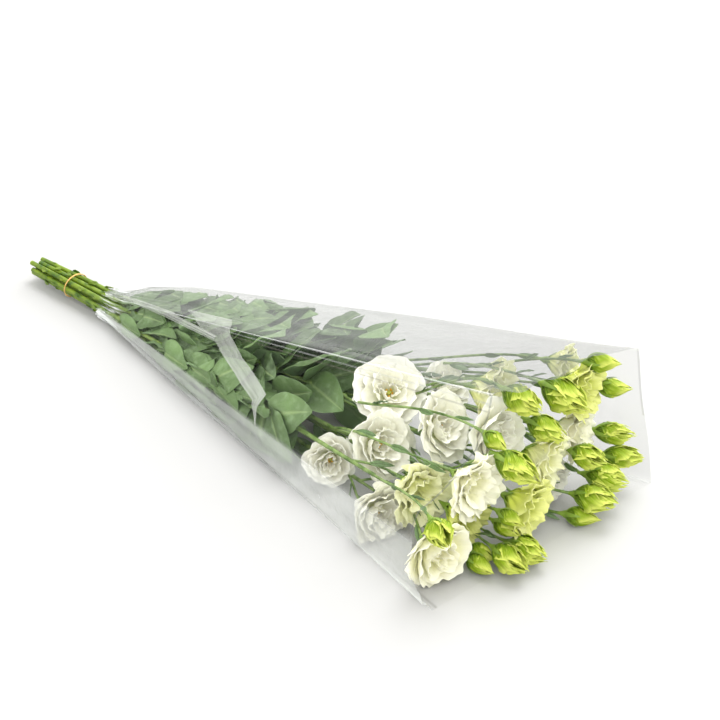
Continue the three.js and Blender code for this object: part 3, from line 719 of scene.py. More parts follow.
# Stems
def catmull(points, t):
    """Centripetal curve through points, as the part's main stems follow it."""
    points = np.asarray(points, float)
    count = len(points)
    first = 2 * points[0] - points[1]
    last = 2 * points[-1] - points[-2]
    ends = np.vstack([first, points, last])
    place = np.asarray(t) * (count - 1)
    index = np.minimum(place.astype(int), count - 2)
    w = (place - index)[:, None]
    p0, p1, p2, p3 = (ends[index + k] for k in range(4))
    pairs = ((p0, p1), (p1, p2), (p2, p3))
    d0, d1, d2 = (np.sqrt(np.linalg.norm(b - a, axis=1))[:, None] for a, b in pairs)
    t1 = ((p1 - p0) / d0 - (p2 - p0) / (d0 + d1) + (p2 - p1) / d1) * d1
    t2 = ((p2 - p1) / d1 - (p3 - p1) / (d1 + d2) + (p3 - p2) / d2) * d1
    cubic = 2 * p1 - 2 * p2 + t1 + t2
    square = -3 * p1 + 3 * p2 - 2 * t1 - t2
    return ((cubic * w + square) * w + t1) * w + p1


class Stem:
    """A main stem: its line, straight through the bundle and then fanning out."""

    def __init__(self, number):
        slot, end = STEMS[number - 1]
        self.number = number
        self.end = np.array(end, float)
        neck_rise = BUNDLE_RISE_AT_NECK + slot[1] * NECK_SPREAD
        neck = np.array([NECK_X, slot[0] * NECK_SPREAD, neck_rise])
        cut_x = CUT_END_X - draw(number, 3, 3) * CUT_SPREAD
        cut = np.array([cut_x, slot[0], BUNDLE_RISE_AT_CUT + slot[1]])
        fan = [lerp(neck, self.end, share) for share in FAN_SHARES]
        self.line = catmull([cut, lerp(cut, neck, 0.5), neck, *fan], even(CURVE_SAMPLES))
        self.ways = units(np.gradient(self.line, axis=0))

    def at(self, x):
        """Point and direction of the stem where it crosses one X."""
        xs = self.line[:, 0]
        point, way = (interp_rows(x, xs, rows) for rows in (self.line, self.ways))
        return point, unit(way)


def interp_rows(x, xs, rows):
    return np.array([np.interp(x, xs, column) for column in rows.T])


def bezier(corners, t):
    a, b, c, d = corners
    t = np.asarray(t)[:, None]
    return a * (1 - t) ** 3 + 3 * b * t * (1 - t) ** 2 + 3 * c * t**2 * (1 - t) + d * t**3


def pedicel_corners(stem, head, attempt):
    """Side stalk from the main stem to a head, leaving along the stem and arriving along the axis."""
    foot = head.base - head.axis * FOOT_DEPTH
    back = lerp(*FORK_BACK, draw(head.number, attempt, 11))
    start, way = stem.at(min(stem.end[0] - 3, foot[0] - back))
    reach = np.linalg.norm(foot - start)

    def shift(purpose):
        """A sideways shift that grows with the tries."""
        return np.array([0, *(jitter(head.number, attempt, purpose + k, attempt / 2) for k in (0, 1))])

    leaving = lerp(unit(foot - start), way, LEAVING_SHARE)
    first = start + leaving * reach * STALK_HANDLES[0] + shift(12)
    second = foot - head.axis * reach * STALK_HANDLES[1] + shift(14)
    for corner in (first, second):
        corner[2] = max(corner[2], STALK_CLEARANCE)
    return start, first, second, foot


def node_points(name):
    """Corners of a CAD node, back in the design frame in millimetres."""
    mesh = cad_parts[name].data
    flat = np.zeros(len(mesh.vertices) * 3, np.float32)
    mesh.vertices.foreach_get("co", flat)
    return np.unique(flat.reshape(-1, 3).astype(float) * 1000 - [ORIGIN_SHIFT, 0, 0], axis=0)


def find_pedicel(stem, head, solid):
    """The try that the part kept: the one whose middle rings hold corners of the CAD node."""
    best, best_count = 0, -1
    place = even(201)
    for attempt in range(PEDICEL_TRIES):
        corners = pedicel_corners(stem, head, attempt)
        line = bezier(corners, place)
        lengths = np.concatenate([[0], np.cumsum(np.linalg.norm(np.diff(line, axis=0), axis=1))])
        count = 0
        for share in (0.5, 0.75):
            middle = interp_rows(lengths[-1] * share, lengths, line)
            gaps = np.linalg.norm(solid - middle, axis=1)
            count += int((np.abs(gaps - PEDICEL_RADIUS) < MATCH_WITHIN).sum())
        if count > best_count:
            best, best_count = attempt, count
        if count >= 6:
            break
    return pedicel_corners(stem, head, best)


def leaf_node_x(number, node):
    return LEAF_NODES[node] + jitter(number, node, 21, LEAF_NODE_SPREAD)


class Leaf:
    """A leaf from its root and heading; it bends away from the side it faces."""

    def __init__(self, root, way, outward, length, seed, width_share, margin=PRESS_MARGIN):
        self.root = root
        self.way = way
        self.face = square_to(way, outward)
        self.side = np.cross(self.way, self.face)
        self.length = length
        self.seed = seed
        self.width_share = width_share
        self.margin = margin

    def grid(self, u, v, extra=0):
        """Points of the leaf over u from -1 to 1 and v from 0 to 1."""
        oval = np.sin(math.pi * np.asarray(v) ** LEAF_TAPER) ** 2
        half = np.maximum(LEAF_FULLNESS * oval**0.37, 0.03) * self.length * self.width_share
        rise = self.length * LEAF_CURL * v**2 - np.abs(u) * half * 0.18 + extra
        u, v, half, rise = np.broadcast_arrays(u, v, half, rise)
        along = (self.length * v)[..., None] * self.way
        across = (half * u)[..., None] * self.side
        return press(self.root + along + across - rise[..., None] * self.face, self.margin)


def cad_leaf(stem, node, pair, attempt):
    """One of a pair of the part's leaves at a joint of a stem, at one of the tries for it."""
    number = stem.number
    x = leaf_node_x(number, node)
    root, way = stem.at(x)
    rise = lerp(BUNDLE_RISE_AT_NECK, FAN_MIDDLE_RISE, (x - NECK_X) / FAN_LENGTH)
    outward = root - [x, 0, rise]
    outward[0] = 0
    outward = unit(outward)
    around = unit(np.cross(way, outward))
    size = LEAF_SIZES[attempt * len(LEAF_SIZES) // LEAF_TRIES]
    seed = node * 2 + pair
    turn = LEAF_TURN * (1 - 2 * pair) + jitter(number, seed, 30 + attempt, LEAF_TURN_JITTER)
    tilt = lerp(*LEAF_TILT, draw(number, seed, 130 + attempt))
    radial = outward * math.cos(turn) + around * math.sin(turn)
    length = LEAF_LENGTH * size * lerp(NECK_LEAF_SIZE, 1, min(1, (x - NECK_X) / FULL_LEAF_AFTER))
    return Leaf(root, lean(way, radial, tilt), outward, length, seed, LEAF_WIDTH_SHARE)


def find_leaf(stem, node, pair, solid):
    """The try that the part kept, or none where it left the leaf out."""
    for attempt in range(LEAF_TRIES):
        leaf = cad_leaf(stem, node, pair, attempt)
        marks = leaf.grid(np.zeros((2, 1)), np.array([[2 / 3], [1.0]]))[:, 0]
        gaps = np.linalg.norm(solid[:, None] - marks, axis=2)
        if (np.abs(gaps - CAD_LEAF_HALF) < MATCH_WITHIN * 2).sum() >= 3:
            return leaf
    return None


def add_leaf(piece, stem, leaf, across=LEAF_ACROSS, lengthwise=LEAF_ALONG, slot=1):
    """The leaf's blade; one deeper in the bunch gets painted shade, a darker tone."""
    u, v = blade_steps(across, lengthwise)
    seed = draw(stem.number, leaf.seed, 51)
    depth = min(LEAF_WAVE, leaf.length / 45)
    wave = np.sin(v * LEAF_WAVES + seed * 6.3 + np.sign(u)) * u**2 * np.sin(math.pi * v) * depth
    groove = LEAF_GROOVE * hump(u, 0, 0.12) * (1 - 0.6 * v)
    points = leaf.grid(u, v, wave + groove)
    # Painted shade: the tone falls to 0 as the leaf lies deeper under the film
    tone = (0.25 + 0.75 * seed) * max(0.0, 1 - (leaf.margin - PRESS_MARGIN) / SHADE_DEPTH)
    piece.blade(points, u, v, LEAF_THICKNESS, slot, tone)


def add_small_leaf(piece, stem, kind, seed, drawn, root, way, radial, facing, sizes=(1, 1)):
    """A leaf of one kind; drawn says which three draws, that follow on, shape it."""
    number, part, first = drawn
    spans = (kind.tilts, kind.lengths, kind.depths)
    tilt, length, depth = (lerp(*span, draw(number, part, first + k)) for k, span in enumerate(spans))
    length, depth = length * sizes[0], depth * sizes[1]
    leaf = Leaf(root, lean(way, radial, tilt), facing, length, seed, kind.width_share, depth)
    add_leaf(piece, stem, leaf, *kind.detail)


def add_extra_leaves(piece, stem):
    """Leaves between those of the solid, each at a depth of its own under the film."""
    for node, near_x in enumerate(EXTRA_NODES):
        for pair in (0, 1):
            seed = EXTRA_SEED + node * 2 + pair
            x = near_x + jitter(stem.number, seed, 21, EXTRA_NODE_SPREAD)
            if x > stem.end[0] - END_MARGIN:
                continue
            root, way = stem.at(x)
            turn = math.tau * draw(stem.number, seed, 22) + math.pi * pair
            radial = square_to(way, [0, math.cos(turn), abs(math.sin(turn)) * 1.4 - 0.2])
            size = min(1, 0.66 + (x - NECK_X) / 150)
            facing = unit(radial + [0, 0, 0.4])
            drawn = (stem.number, seed, 23)
            add_small_leaf(piece, stem, EXTRA, seed, drawn, root, way, radial, facing, (size, size))


def add_wall_leaves(piece, stem, nodes, turns, facing, first_seed):
    """Leaves that reach out, within a range of half turns, until they lie against the film."""
    for node, near_x in enumerate(nodes):
        seed = first_seed + node
        x = min(near_x + jitter(stem.number, seed, 21, WALL_NODE_SPREAD), stem.end[0] - END_MARGIN)
        root, way = stem.at(x)
        turn = math.pi * lerp(*turns, draw(stem.number, seed, 22))
        radial = square_to(way, [0, math.cos(turn), math.sin(turn)])
        size = min(1, 0.5 + (x - NECK_X) / 100)
        drawn = (stem.number, seed, 23)
        add_small_leaf(piece, stem, WALL, seed, drawn, root, way, radial, facing, (size, 1))


def add_stubs(piece, stem):
    """Short torn leaves at the joints of the bare stem, on the outer side of the bundle."""
    for node, near_x in enumerate(STUB_NODES):
        seed = STUB_SEED + node
        root, way = stem.at(near_x + jitter(stem.number, seed, 21, STUB_NODE_SPREAD))
        outward = root - [root[0], 0, BUNDLE_RISE_AT_CUT]
        turn = lerp(-0.7, 0.7, draw(stem.number, seed, 22))
        y = outward[1] * math.cos(turn) - outward[2] * math.sin(turn)
        z = outward[1] * math.sin(turn) + outward[2] * math.cos(turn)
        radial = unit(np.array([0, y, z]))
        start = root + radial * STEM_RADIUS * 0.8
        add_small_leaf(piece, stem, STUB, seed, (stem.number, seed, 23), start, way, radial, radial)


def add_bracts(piece, stem, head, stalk):
    """Narrow leaves where a side stalk bends and forks."""
    for i, place in enumerate(BRACT_PLACES):
        row = int(place * (len(stalk) - 1))
        way = unit(stalk[row + 1] - stalk[row])
        turn = math.tau * draw(head.number, i, 91)
        radial = unit(np.cross(way, [0, math.cos(turn), math.sin(turn)]))
        seed, drawn = BRACT_SEED + i, (head.number, i, 92)
        add_small_leaf(piece, stem, BRACT, seed, drawn, stalk[row], way, radial, radial)


def outer_profile(head):
    """Heights over the base and distances from the axis of the outermost petals."""
    _, _, _, reach_curve, rise_curve = head.layers[0]
    v = even(21)
    size = head.radius * head.form.growth
    return through(rise_curve, v) * head.depth, through(reach_curve, v) * size


def add_calyx(piece, head):
    """A small green cup drawn out into five narrow pointed sepals along the outer petals."""
    v = even(10)
    line = head.point(0, 0, lerp(*CUP_HEIGHTS, v))
    add_tube(piece, line, lerp(*CUP_RADII, v**1.6), 14, 2)
    rises, reaches = outer_profile(head)
    for i in range(SEPAL_COUNT):
        turn = math.pi * (0.4 * i - 0.1) + head.form.twist * 0.2
        u, w = blade_steps(6, 12)
        share = SEPAL_SHARE[head.kind] * (0.85 + 0.3 * draw(head.number, i, 82))
        rise = lerp(-SEPAL_FOOT, share * head.depth, w)
        half = SEPAL_HALF_WIDTH * (1 - w) ** 0.7 + 0.15
        foot = np.clip((rise + SEPAL_FOOT) / 4, 0, 1)
        reach = lerp(3.0, np.interp(rise, rises, reaches) + 0.9, foot) + 0.8 * w**3
        reach = reach - 0.3 * np.abs(u) * (1 - w)
        points = press(head.point(reach, turn + u * half / np.maximum(reach, 1), rise))
        piece.blade(points, u, w, SEPAL_THICKNESS, 2, draw(head.number, i, 81))


def make_stem(number):
    """A leafy stem with its side stalks, the cups under the heads, and all its leaves."""
    stem = Stem(number)
    name = f"stem_{number:02d}"
    solid = node_points(name)
    piece = Piece(f"{name}_leafy", [STEM, LEAF, CALYX])
    rows = np.linspace(0, CURVE_SAMPLES - 1, STEM_ROWS).astype(int)
    line = stem.line[rows]
    radii = np.full(len(rows), STEM_RADIUS)
    for node in range(len(LEAF_NODES)):
        x = leaf_node_x(number, node)
        radii = radii + JOINT_SWELL * hump(line[:, 0], x, JOINT_HALF_LENGTH)
    radii = radii * lerp(1.0, TIP_SHARE, np.clip((line[:, 0] - NECK_X) / TAPER_LENGTH, 0, 1))
    add_tube(piece, line, radii, 14, 0, draw(number, 1, 41))
    for head in HEADS:
        if head.stem != number:
            continue
        corners = find_pedicel(stem, head, solid)
        v = even(STALK_ROWS)
        stalk = bezier(corners, v)
        stalk_radii = PEDICEL_RADIUS * (1.15 - 0.2 * v + 0.35 * hump(v, 1, 0.06))
        add_tube(piece, stalk, stalk_radii, 8, 0, draw(head.number, 1, 42))
        add_bracts(piece, stem, head, stalk)
        add_calyx(piece, head)
    for node in range(len(LEAF_NODES)):
        for pair in (0, 1):
            leaf = find_leaf(stem, node, pair, solid)
            if leaf:
                add_leaf(piece, stem, leaf)
    add_stubs(piece, stem)
    add_extra_leaves(piece, stem)
    for stems, *wall in (TOP_LEAVES, LOW_LEAVES):
        if number in stems:
            add_wall_leaves(piece, stem, *wall)
    piece.build([name])


# Film
def film_base(place, share):
    """Points on the CAD's film faces; place counts the rim's corners and share runs to the rim."""
    corner = int(place) % len(RIM)
    a = film_point(*RIM[corner], share)
    b = film_point(*RIM[(corner + 1) % len(RIM)], share)
    return lerp(a, b, place - int(place))


def make_film():
    """The sleeve: the CAD's own faces drawn finer, with gathers at the neck and soft creases."""
    places = np.arange(len(RIM) * FILM_ACROSS) / FILM_ACROSS
    points = np.stack([film_base(place, FILM_SHARES) for place in places], 1)
    v = FILM_SHARES[:, None]
    across = np.roll(points, -1, 1) - np.roll(points, 1, 1)
    along = np.gradient(points, axis=0)
    normal = units(np.cross(across, along))
    turn = places[None, :] / len(RIM) * math.tau
    pleat = np.abs(np.cos(turn * PLEAT_WAVES[0] + 1.3 + 3 * v))
    pleat = pleat + 0.6 * np.abs(np.cos(turn * PLEAT_WAVES[1] + 0.4 - 5 * v))
    fade = np.exp(-np.maximum(v, 0) / GATHER_LENGTH)
    gather = (pleat - 0.7) * GATHER_HEIGHT * fade * (1 + np.maximum(-v, 0) * 40)
    soft = np.cos(turn * CREASE_WAVES[0] + 5 * v) * np.cos(9 * v + 1)
    soft = soft + 0.7 * np.cos(turn * CREASE_WAVES[1] - 6 * v + 2)
    edge = np.clip((v - 0.9) * 10, 0, 1) ** 2 * np.cos(turn * MOUTH_WAVES + 1) * MOUTH_WAVE
    lift = FILM_LIFT + gather + soft * np.clip(v * 3, 0, 1) + edge
    lift = np.where((points[..., 2] < 3) & (v > 0.2), np.abs(lift) * FLOOR_RELIEF, lift)
    points = points + normal * lift[..., None]
    points[..., 2] = np.maximum(points[..., 2], 0.15)
    piece = Piece("sleeve_film", [FILM])
    us = np.append(places, len(RIM)) / len(RIM)
    piece.grid(points, us, FILM_SHARES, 0, 0.5, wrap=True)
    for edges in STRIPS:
        add_strip(piece, points, normal, edges)
    film = piece.build(["sleeve"], sharp=FILM_SHARP_FROM)
    film.visible_shadow = False


def add_strip(piece, points, normal, edges):
    """A folded-back strip, lying on the film."""
    steps = even(STRIP_ROWS)
    marks = even(len(edges[0]))
    places, shares, other_places, other_shares = (np.interp(steps, marks, row) for row in edges)
    strip = []
    for t in even(STRIP_COLUMNS):
        place = lerp(places, other_places, t)
        share = lerp(shares, other_shares, t)
        row = np.interp(share, FILM_SHARES, np.arange(len(FILM_SHARES)))
        low = np.floor(row).astype(int)
        w = (row - low)[:, None]
        left = np.floor(place * FILM_ACROSS).astype(int)
        s = (place * FILM_ACROSS - left)[:, None]
        corner = [points[low + i, (left + j) % points.shape[1]] for i in (0, 1) for j in (0, 1)]
        at = lerp(lerp(corner[0], corner[1], s), lerp(corner[2], corner[3], s), w)
        pleat = 0.5 + 0.9 * math.sin(math.pi * t) + 0.35 * math.cos(t * 17)
        strip.append(at + normal[low, left % points.shape[1]] * pleat)
    grid = np.stack(strip, 1)
    us = np.linspace(STRIP_U, STRIP_U + 1, STRIP_COLUMNS)
    piece.grid(grid, us, steps, 0, 1.0)


# Rubber band
def make_band():
    """The rubber band: one cord that goes twice round the stems."""
    share = (BAND_X - CUT_END_X) / (NECK_X - CUT_END_X)
    rise = lerp(BUNDLE_RISE_AT_CUT, BUNDLE_RISE_AT_NECK, share)
    turn = np.linspace(0, BAND_ROUNDS * math.tau, BAND_POINTS + 1)[:-1]
    stagger = BAND_STAGGER * np.sin(turn / BAND_ROUNDS)
    x = BAND_X + BAND_WEAVE * np.cos(turn / BAND_ROUNDS)
    y = (BAND_HALF_WIDTH + stagger) * np.cos(turn)
    z = rise + (BAND_HALF_HEIGHT + stagger) * np.sin(turn)
    line = np.stack([x, y, z], 1)
    ways = units(np.roll(line, -1, 0) - np.roll(line, 1, 0))
    outward = line - [BAND_X, 0, rise]
    outward = units(outward - ways * (outward * ways).sum(1, keepdims=True))
    radii = np.full(len(line), BAND_CORD_RADIUS)
    points = rings(line, outward, np.cross(ways, outward), radii, BAND_SIDES)
    points = np.concatenate([points, points[:1]])
    piece = Piece("rubber_band_cord", [RUBBER])
    piece.grid(points, even(BAND_SIDES + 1), even(len(points)), wrap=True)
    piece.build(["rubber_band"])


# Materials
class Shader:
    """A node material with short calls for the few nodes used here."""

    def __init__(self, name):
        self.material = bpy.data.materials.new(name)
        self.material.use_nodes = True
        self.nodes = self.material.node_tree.nodes
        self.links = self.material.node_tree.links
        self.surface = self.nodes["Principled BSDF"]

    def add(self, kind, **values):
        node = self.nodes.new(kind)
        for key, value in values.items():
            setattr(node, key, value)
        return node

    def put(self, socket, value):
        if isinstance(value, bpy.types.NodeSocket):
            self.links.new(value, socket)
        else:
            socket.default_value = value

    def fill(self, node, **values):
        """Values or links for the inputs of a node, by name."""
        for key, value in values.items():
            self.put(node.inputs[key.replace("_", " ")], value)

    def set(self, **values):
        self.fill(self.surface, **values)

    def calculate(self, operation, a, b=0.0, clamp=False):
        node = self.add("ShaderNodeMath", operation=operation, use_clamp=clamp)
        self.put(node.inputs[0], a)
        self.put(node.inputs[1], b)
        return node.outputs[0]

    times = partialmethod(calculate, "MULTIPLY")
    plus = partialmethod(calculate, "ADD")
    minus = partialmethod(calculate, "SUBTRACT")
    most = partialmethod(calculate, "MAXIMUM")
    over = partialmethod(calculate, "GREATER_THAN")
    under = partialmethod(calculate, "LESS_THAN")
    gap = partialmethod(calculate, "ABSOLUTE")

    def above(self, value, limit, gain):
        """How far a value is over a limit, times a gain, up to 1."""
        return self.times(self.minus(value, limit, True), gain, True)

    def mix(self, share, a, b):
        node = self.add("ShaderNodeMix", data_type="RGBA")
        self.put(node.inputs[0], share)
        self.put(node.inputs[6], a)
        self.put(node.inputs[7], b)
        return node.outputs[2]

    def ramp(self, value, stops, smooth=True):
        node = self.add("ShaderNodeValToRGB")
        ramp = node.color_ramp
        ramp.interpolation = "EASE" if smooth else "LINEAR"
        while len(ramp.elements) < len(stops):
            ramp.elements.new(0.5)
        for element, (at, colour) in zip(ramp.elements, stops):
            element.position = at
            element.color = colour
        self.put(node.inputs[0], value)
        return node.outputs[0]

    def lines(self, place, rows, width):
        """Soft lines at given places, each with a strength of its own."""
        total = 0.0
        for at, strength in rows:
            gap = self.gap(self.minus(place, at))
            line = self.minus(1.0, self.calculate("DIVIDE", gap, width), True)
            total = self.most(total, self.times(line, strength))
        return total

    def uv(self):
        node = self.add("ShaderNodeUVMap", uv_map="UVMap")
        split = self.add("ShaderNodeSeparateXYZ")
        self.links.new(node.outputs[0], split.inputs[0])
        return split.outputs[0], split.outputs[1]

    def place(self, x, y, z=0.0):
        node = self.add("ShaderNodeCombineXYZ")
        for socket, value in zip(node.inputs, (x, y, z)):
            self.put(socket, value)
        return node.outputs[0]

    def noise(self, vector, scale, detail=3.0, roughness=0.5):
        node = self.add("ShaderNodeTexNoise")
        self.fill(node, Scale=scale, Detail=detail, Roughness=roughness, Vector=vector)
        return node.outputs["Fac"]

    def object_place(self):
        return self.add("ShaderNodeTexCoord").outputs["Object"]

    def cloud(self, scale, detail=3.0, roughness=0.5):
        return self.noise(self.object_place(), scale, detail, roughness)

    def tone(self):
        return self.add("ShaderNodeAttribute", attribute_name="tone").outputs["Fac"]

    def soften(self, weight, scale, radius=GREEN_DEPTHS):
        """Light under the skin."""
        self.set(Subsurface_Weight=weight, Subsurface_Scale=scale, Subsurface_Radius=radius)

    def bump(self, height, strength, distance):
        node = self.add("ShaderNodeBump")
        self.fill(node, Strength=strength, Distance=distance, Height=height)
        self.set(Normal=node.outputs[0])


def linear(red, green, blue):
    """Linear colour, with alpha, from one seen on a screen, 0 to 255."""
    return tuple((c / 255) ** SCREEN_GAMMA for c in (red, green, blue)) + (1.0,)


def plain_grey(value):
    return (value, value, value, 1)


def petal_material(name, base, body, lip):
    s = Shader(name)
    u, v = s.uv()
    tone = s.tone()
    veins = s.noise(s.place(s.times(u, 22), s.times(v, 1.6), s.times(tone, 40)), 1.0)
    shade = s.cloud(60.0)
    length = s.plus(v, s.times(s.minus(shade, 0.5), 0.22))
    colour = s.ramp(length, [(0.0, base), (0.42, body), (1.0, lip)])
    colour = s.mix(s.above(veins, 0.45, 0.35), colour, base)
    s.set(Base_Color=colour, Roughness=0.55, Specular_IOR_Level=0.3, Sheen_Weight=0.15)
    s.soften(0.35, 0.003, PETAL_DEPTHS)
    s.bump(veins, 0.35, 0.0006)
    return s.material


def leaf_material():
    s = Shader("leaf_waxy")
    u, v = s.uv()
    back = s.over(u, 1.0)
    across = s.gap(s.minus(s.calculate("PINGPONG", u, 1.0), 0.5))
    rib = s.ramp(across, [(0.0, plain_grey(1)), (0.03, plain_grey(0.55)), (0.06, plain_grey(0))])
    side = s.gap(s.minus(across, 0.2))
    vein = s.ramp(side, [(0.0, plain_grey(0.45)), (0.018, plain_grey(0))])
    cloud = s.cloud(45.0, 4.0)
    tone = s.tone()
    dark = linear(12, 32, 15)
    light = linear(124, 156, 96)
    # Painted shade: a leaf's tone is random, but lower the deeper the leaf lies in the bunch, taking
    # it towards the near-black green
    colour = s.mix(s.plus(s.times(cloud, 0.45), s.times(tone, 0.55)), dark, light)
    # Lighter bluish-grey patches: partly waxy bloom, partly painted sheen
    bloom = s.above(s.cloud(130.0, 4.0), 0.5, 2.2)
    colour = s.mix(bloom, colour, linear(142, 168, 124))
    colour = s.mix(s.times(rib, 0.55), colour, linear(150, 172, 116))
    colour = s.mix(s.times(vein, 0.5), colour, linear(120, 150, 100))
    colour = s.mix(s.times(back, 0.35), colour, linear(124, 150, 112))
    s.set(Base_Color=colour, Roughness=0.42, Specular_IOR_Level=0.3)
    s.soften(0.08, 0.002)
    fine = s.noise(s.place(s.times(u, 30), s.times(v, 20)), 1.0, 4.0)
    height = s.plus(s.times(fine, 0.4), s.times(rib, -0.8))
    s.bump(height, 0.6, 0.001)
    return s.material


def stem_material():
    s = Shader("stem_green")
    split = s.add("ShaderNodeSeparateXYZ")
    s.put(split.inputs[0], s.object_place())
    share = s.add("ShaderNodeMapRange")
    s.fill(share, From_Min=-0.30, From_Max=-0.02, Value=split.outputs[0])
    colour = s.mix(share.outputs[0], linear(112, 136, 18), linear(128, 152, 86))
    _, v = s.uv()
    streak = s.cloud(110.0, 4.0)
    patch = s.above(streak, 0.42, 4.0)
    colour = s.mix(patch, colour, linear(60, 92, 10))
    ends = s.under(v, 0.001)
    colour = s.mix(ends, colour, linear(196, 208, 150))
    s.set(Base_Color=colour, Roughness=0.45)
    s.soften(0.1, 0.002)
    s.bump(streak, 0.3, 0.0006)
    return s.material


def plain_material(name, dark, light, scale, detail=3.0, soft=(0.1, 0.002), rise=0.0004):
    """Two clouded colours, each 0 to 255."""
    s = Shader(name)
    cloud = s.cloud(scale, detail)
    s.set(Base_Color=s.mix(cloud, linear(*dark), linear(*light)), Roughness=0.5)
    s.soften(*soft)
    s.bump(cloud, 0.2, rise)
    return s.material


def bud_material():
    s = Shader("bud_furled")
    u, v = s.uv()
    shade = s.cloud(90.0, 3.0)
    fine = s.noise(s.place(s.times(u, 60), s.times(v, 4)), 1.0, 3.0)
    length = s.plus(v, s.times(s.minus(shade, 0.5), 0.25))
    stops = [
        (0.0, linear(38, 70, 2)),
        (0.35, linear(80, 112, 4)),
        (0.7, linear(128, 154, 22)),
        (1.0, linear(200, 211, 98)),
    ]
    colour = s.ramp(length, stops)
    streak = s.above(fine, 0.5, 3.0)
    colour = s.mix(streak, colour, linear(196, 206, 96))
    # Painted shade: dark lengthwise streaks stand for shade in the creases between the furled petals
    groove = s.above(0.46, fine, 4.0)
    colour = s.mix(groove, colour, linear(60, 96, 8))
    s.set(Base_Color=colour, Roughness=0.55, Specular_IOR_Level=0.2)
    s.soften(0.15, 0.002)
    s.bump(fine, 0.3, 0.0005)
    return s.material


def film_material():
    """Clear film: hazier where it is doubled, crumpled or seen aslant, with painted highlights at its
    folds and neck and painted shade beside folds and towards the rim.
    """
    s = Shader("film_clear")
    u, v = s.uv()
    place = s.times(u, len(RIM))
    tone = s.tone()
    crinkle = s.cloud(14.0, 5.0, 0.6)
    fine = s.cloud(60.0, 3.0, 0.5)
    haze_stops = [(at / len(RIM), plain_grey(haze)) for at, haze in HAZE]
    haze = s.ramp(u, haze_stops, smooth=False)
    facing = s.add("ShaderNodeLayerWeight")
    s.fill(facing, Blend=0.3)
    aslant = s.times(s.calculate("POWER", facing.outputs["Facing"], 3.0), 0.25)
    alpha = s.plus(haze, aslant)
    alpha = s.plus(alpha, s.above(crinkle, 0.5, 0.4))
    # Painted highlights along the folds
    highlight = s.lines(place, FOLD_HIGHLIGHTS, FOLD_HIGHLIGHT_WIDTH)
    # Painted shade in dark lines beside the folds
    shadow = s.lines(place, FOLD_SHADE_LINES, FOLD_SHADE_WIDTH)
    above_floor = s.over(place, 4.0)
    rim = s.times(s.over(v, 0.996), s.times(above_floor, 0.4))
    # Painted glints on the crumpled film at the gathered neck
    streak = s.noise(s.place(s.times(place, 3.5), s.times(v, 16.0)), 1.0, 4.0, 0.6)
    gathered = s.above(0.075, v, 12.0)
    crumple_glint = s.above(streak, 0.46, s.times(gathered, 5.0))
    highlight = s.most(highlight, s.calculate("MINIMUM", crumple_glint, 0.8))
    strip = s.over(tone, 0.9)
    shadow = s.times(shadow, s.minus(1.0, strip))
    alpha = s.most(alpha, s.most(rim, s.most(highlight, shadow)))
    pleats = s.noise(s.place(s.times(u, 5.0), s.times(v, 4.0)), 1.0, 3.0, 0.5)
    body = s.plus(0.35, s.times(v, 1.0, True), True)
    veil = s.plus(0.26, s.times(pleats, 0.5))
    flap = s.times(strip, s.times(body, veil))
    alpha = s.most(alpha, flap, True)
    grey_stops = [(at / len(RIM), linear(shade, shade + 4, shade + 1)) for at, shade in GREY]
    grey = s.ramp(u, grey_stops, smooth=False)
    # Painted shade: the film's grey darkens towards the rim, away from the near edge
    painted_mouth_shade = s.above(v, MOUTH_FROM, 2.2)
    upper = s.under(place, NEAR_EDGE)
    painted_mouth_shade = s.times(painted_mouth_shade, s.times(upper, MOUTH_SHADE))
    grey = s.mix(painted_mouth_shade, grey, linear(40, 42, 42))
    # Painted highlights turn the folds and the gathered neck near white
    white = s.times(highlight, 1.5, True)
    colour = s.mix(white, s.mix(strip, grey, linear(186, 190, 184)), linear(240, 243, 244))
    # Painted shade: brownish dark lines beside the folds
    dark = s.times(shadow, 2.0, True)
    colour = s.mix(dark, colour, linear(104, 98, 84))
    s.set(Base_Color=colour, Roughness=0.12, Alpha=alpha, Specular_IOR_Level=0.8)
    s.bump(s.plus(crinkle, s.times(fine, 0.25)), 0.7, 0.006)
    return s.material


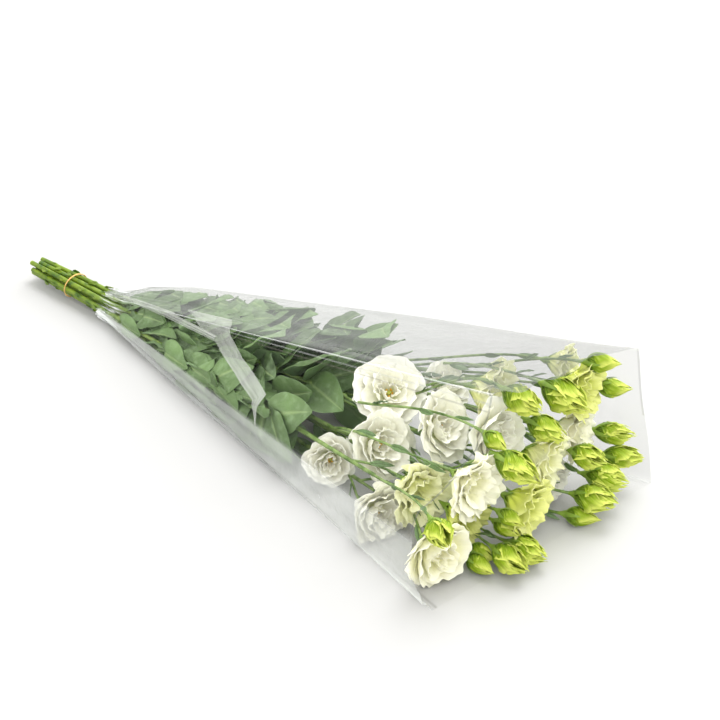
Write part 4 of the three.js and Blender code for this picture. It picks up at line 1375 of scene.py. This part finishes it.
PETALS = {
    tint: petal_material(f"petal_{tint}_soft", *(linear(*colour) for colour in colours))
    for tint, colours in PETAL_COLOURS.items()
}
PISTIL = plain_material("pistil_green", (160, 176, 60), (206, 204, 84), 300.0)
ANTHER = plain_material("anther_yellow", (206, 150, 34), (232, 186, 58), 500.0)
CALYX = plain_material("calyx_green", (92, 126, 40), (140, 166, 66), 120.0)
STEM = stem_material()
LEAF = leaf_material()
BUD = bud_material()
RUBBER = plain_material(
    "rubber_tan", (196, 156, 84), (214, 178, 108), 400.0, 2.0, (0.25, 0.001, RUBBER_DEPTHS), 0.0002
)
FILM = film_material()

for flower in FLOWERS:
    make_flower(flower)
for bud in BUDS:
    make_bud(bud)
for stem_number in range(1, len(STEMS) + 1):
    make_stem(stem_number)
make_film()
make_band()


# Floor, light and camera
def make_floor():
    mesh = bpy.data.meshes.new("floor")
    corners = [(x * FLOOR_SIZE, y * FLOOR_SIZE, 0) for x, y in ((-1, -1), (1, -1), (1, 1), (-1, 1))]
    mesh.from_pydata(corners, [], [(0, 1, 2, 3)])
    floor = add_object("floor", mesh)
    s = Shader("floor_white")
    s.set(Base_Color=plain_grey(FLOOR_GREY), Roughness=0.8)
    mesh.materials.append(s.material)


def make_light(name, place, size, power):
    data = bpy.data.lights.new(name, "AREA")
    data.shape = "DISK"
    data.size = size
    data.energy = power
    lamp = add_object(name, data)
    lamp.location = place
    lamp.rotation_euler = (-Vector(place)).to_track_quat("-Z", "Y").to_euler()


def make_world():
    world = bpy.data.worlds.new("studio")
    world.use_nodes = True
    background = world.node_tree.nodes["Background"]
    background.inputs["Color"].default_value = WORLD_COLOUR
    background.inputs["Strength"].default_value = WORLD_STRENGTH
    bpy.context.scene.world = world


def make_camera():
    data = bpy.data.cameras.new("camera")
    data.sensor_width = SENSOR_WIDTH
    data.lens = SENSOR_WIDTH / 2 / math.tan(CAMERA_ANGLE / 2)
    camera = add_object("camera", data)
    camera.location = CAMERA_AT
    camera.rotation_euler = (CAMERA_AIM - CAMERA_AT).to_track_quat("-Z", "Y").to_euler()
    bpy.context.scene.camera = camera


make_floor()
for light in LIGHTS:
    make_light(*light)
make_world()
make_camera()
bpy.context.scene.view_settings.view_transform = "Standard"
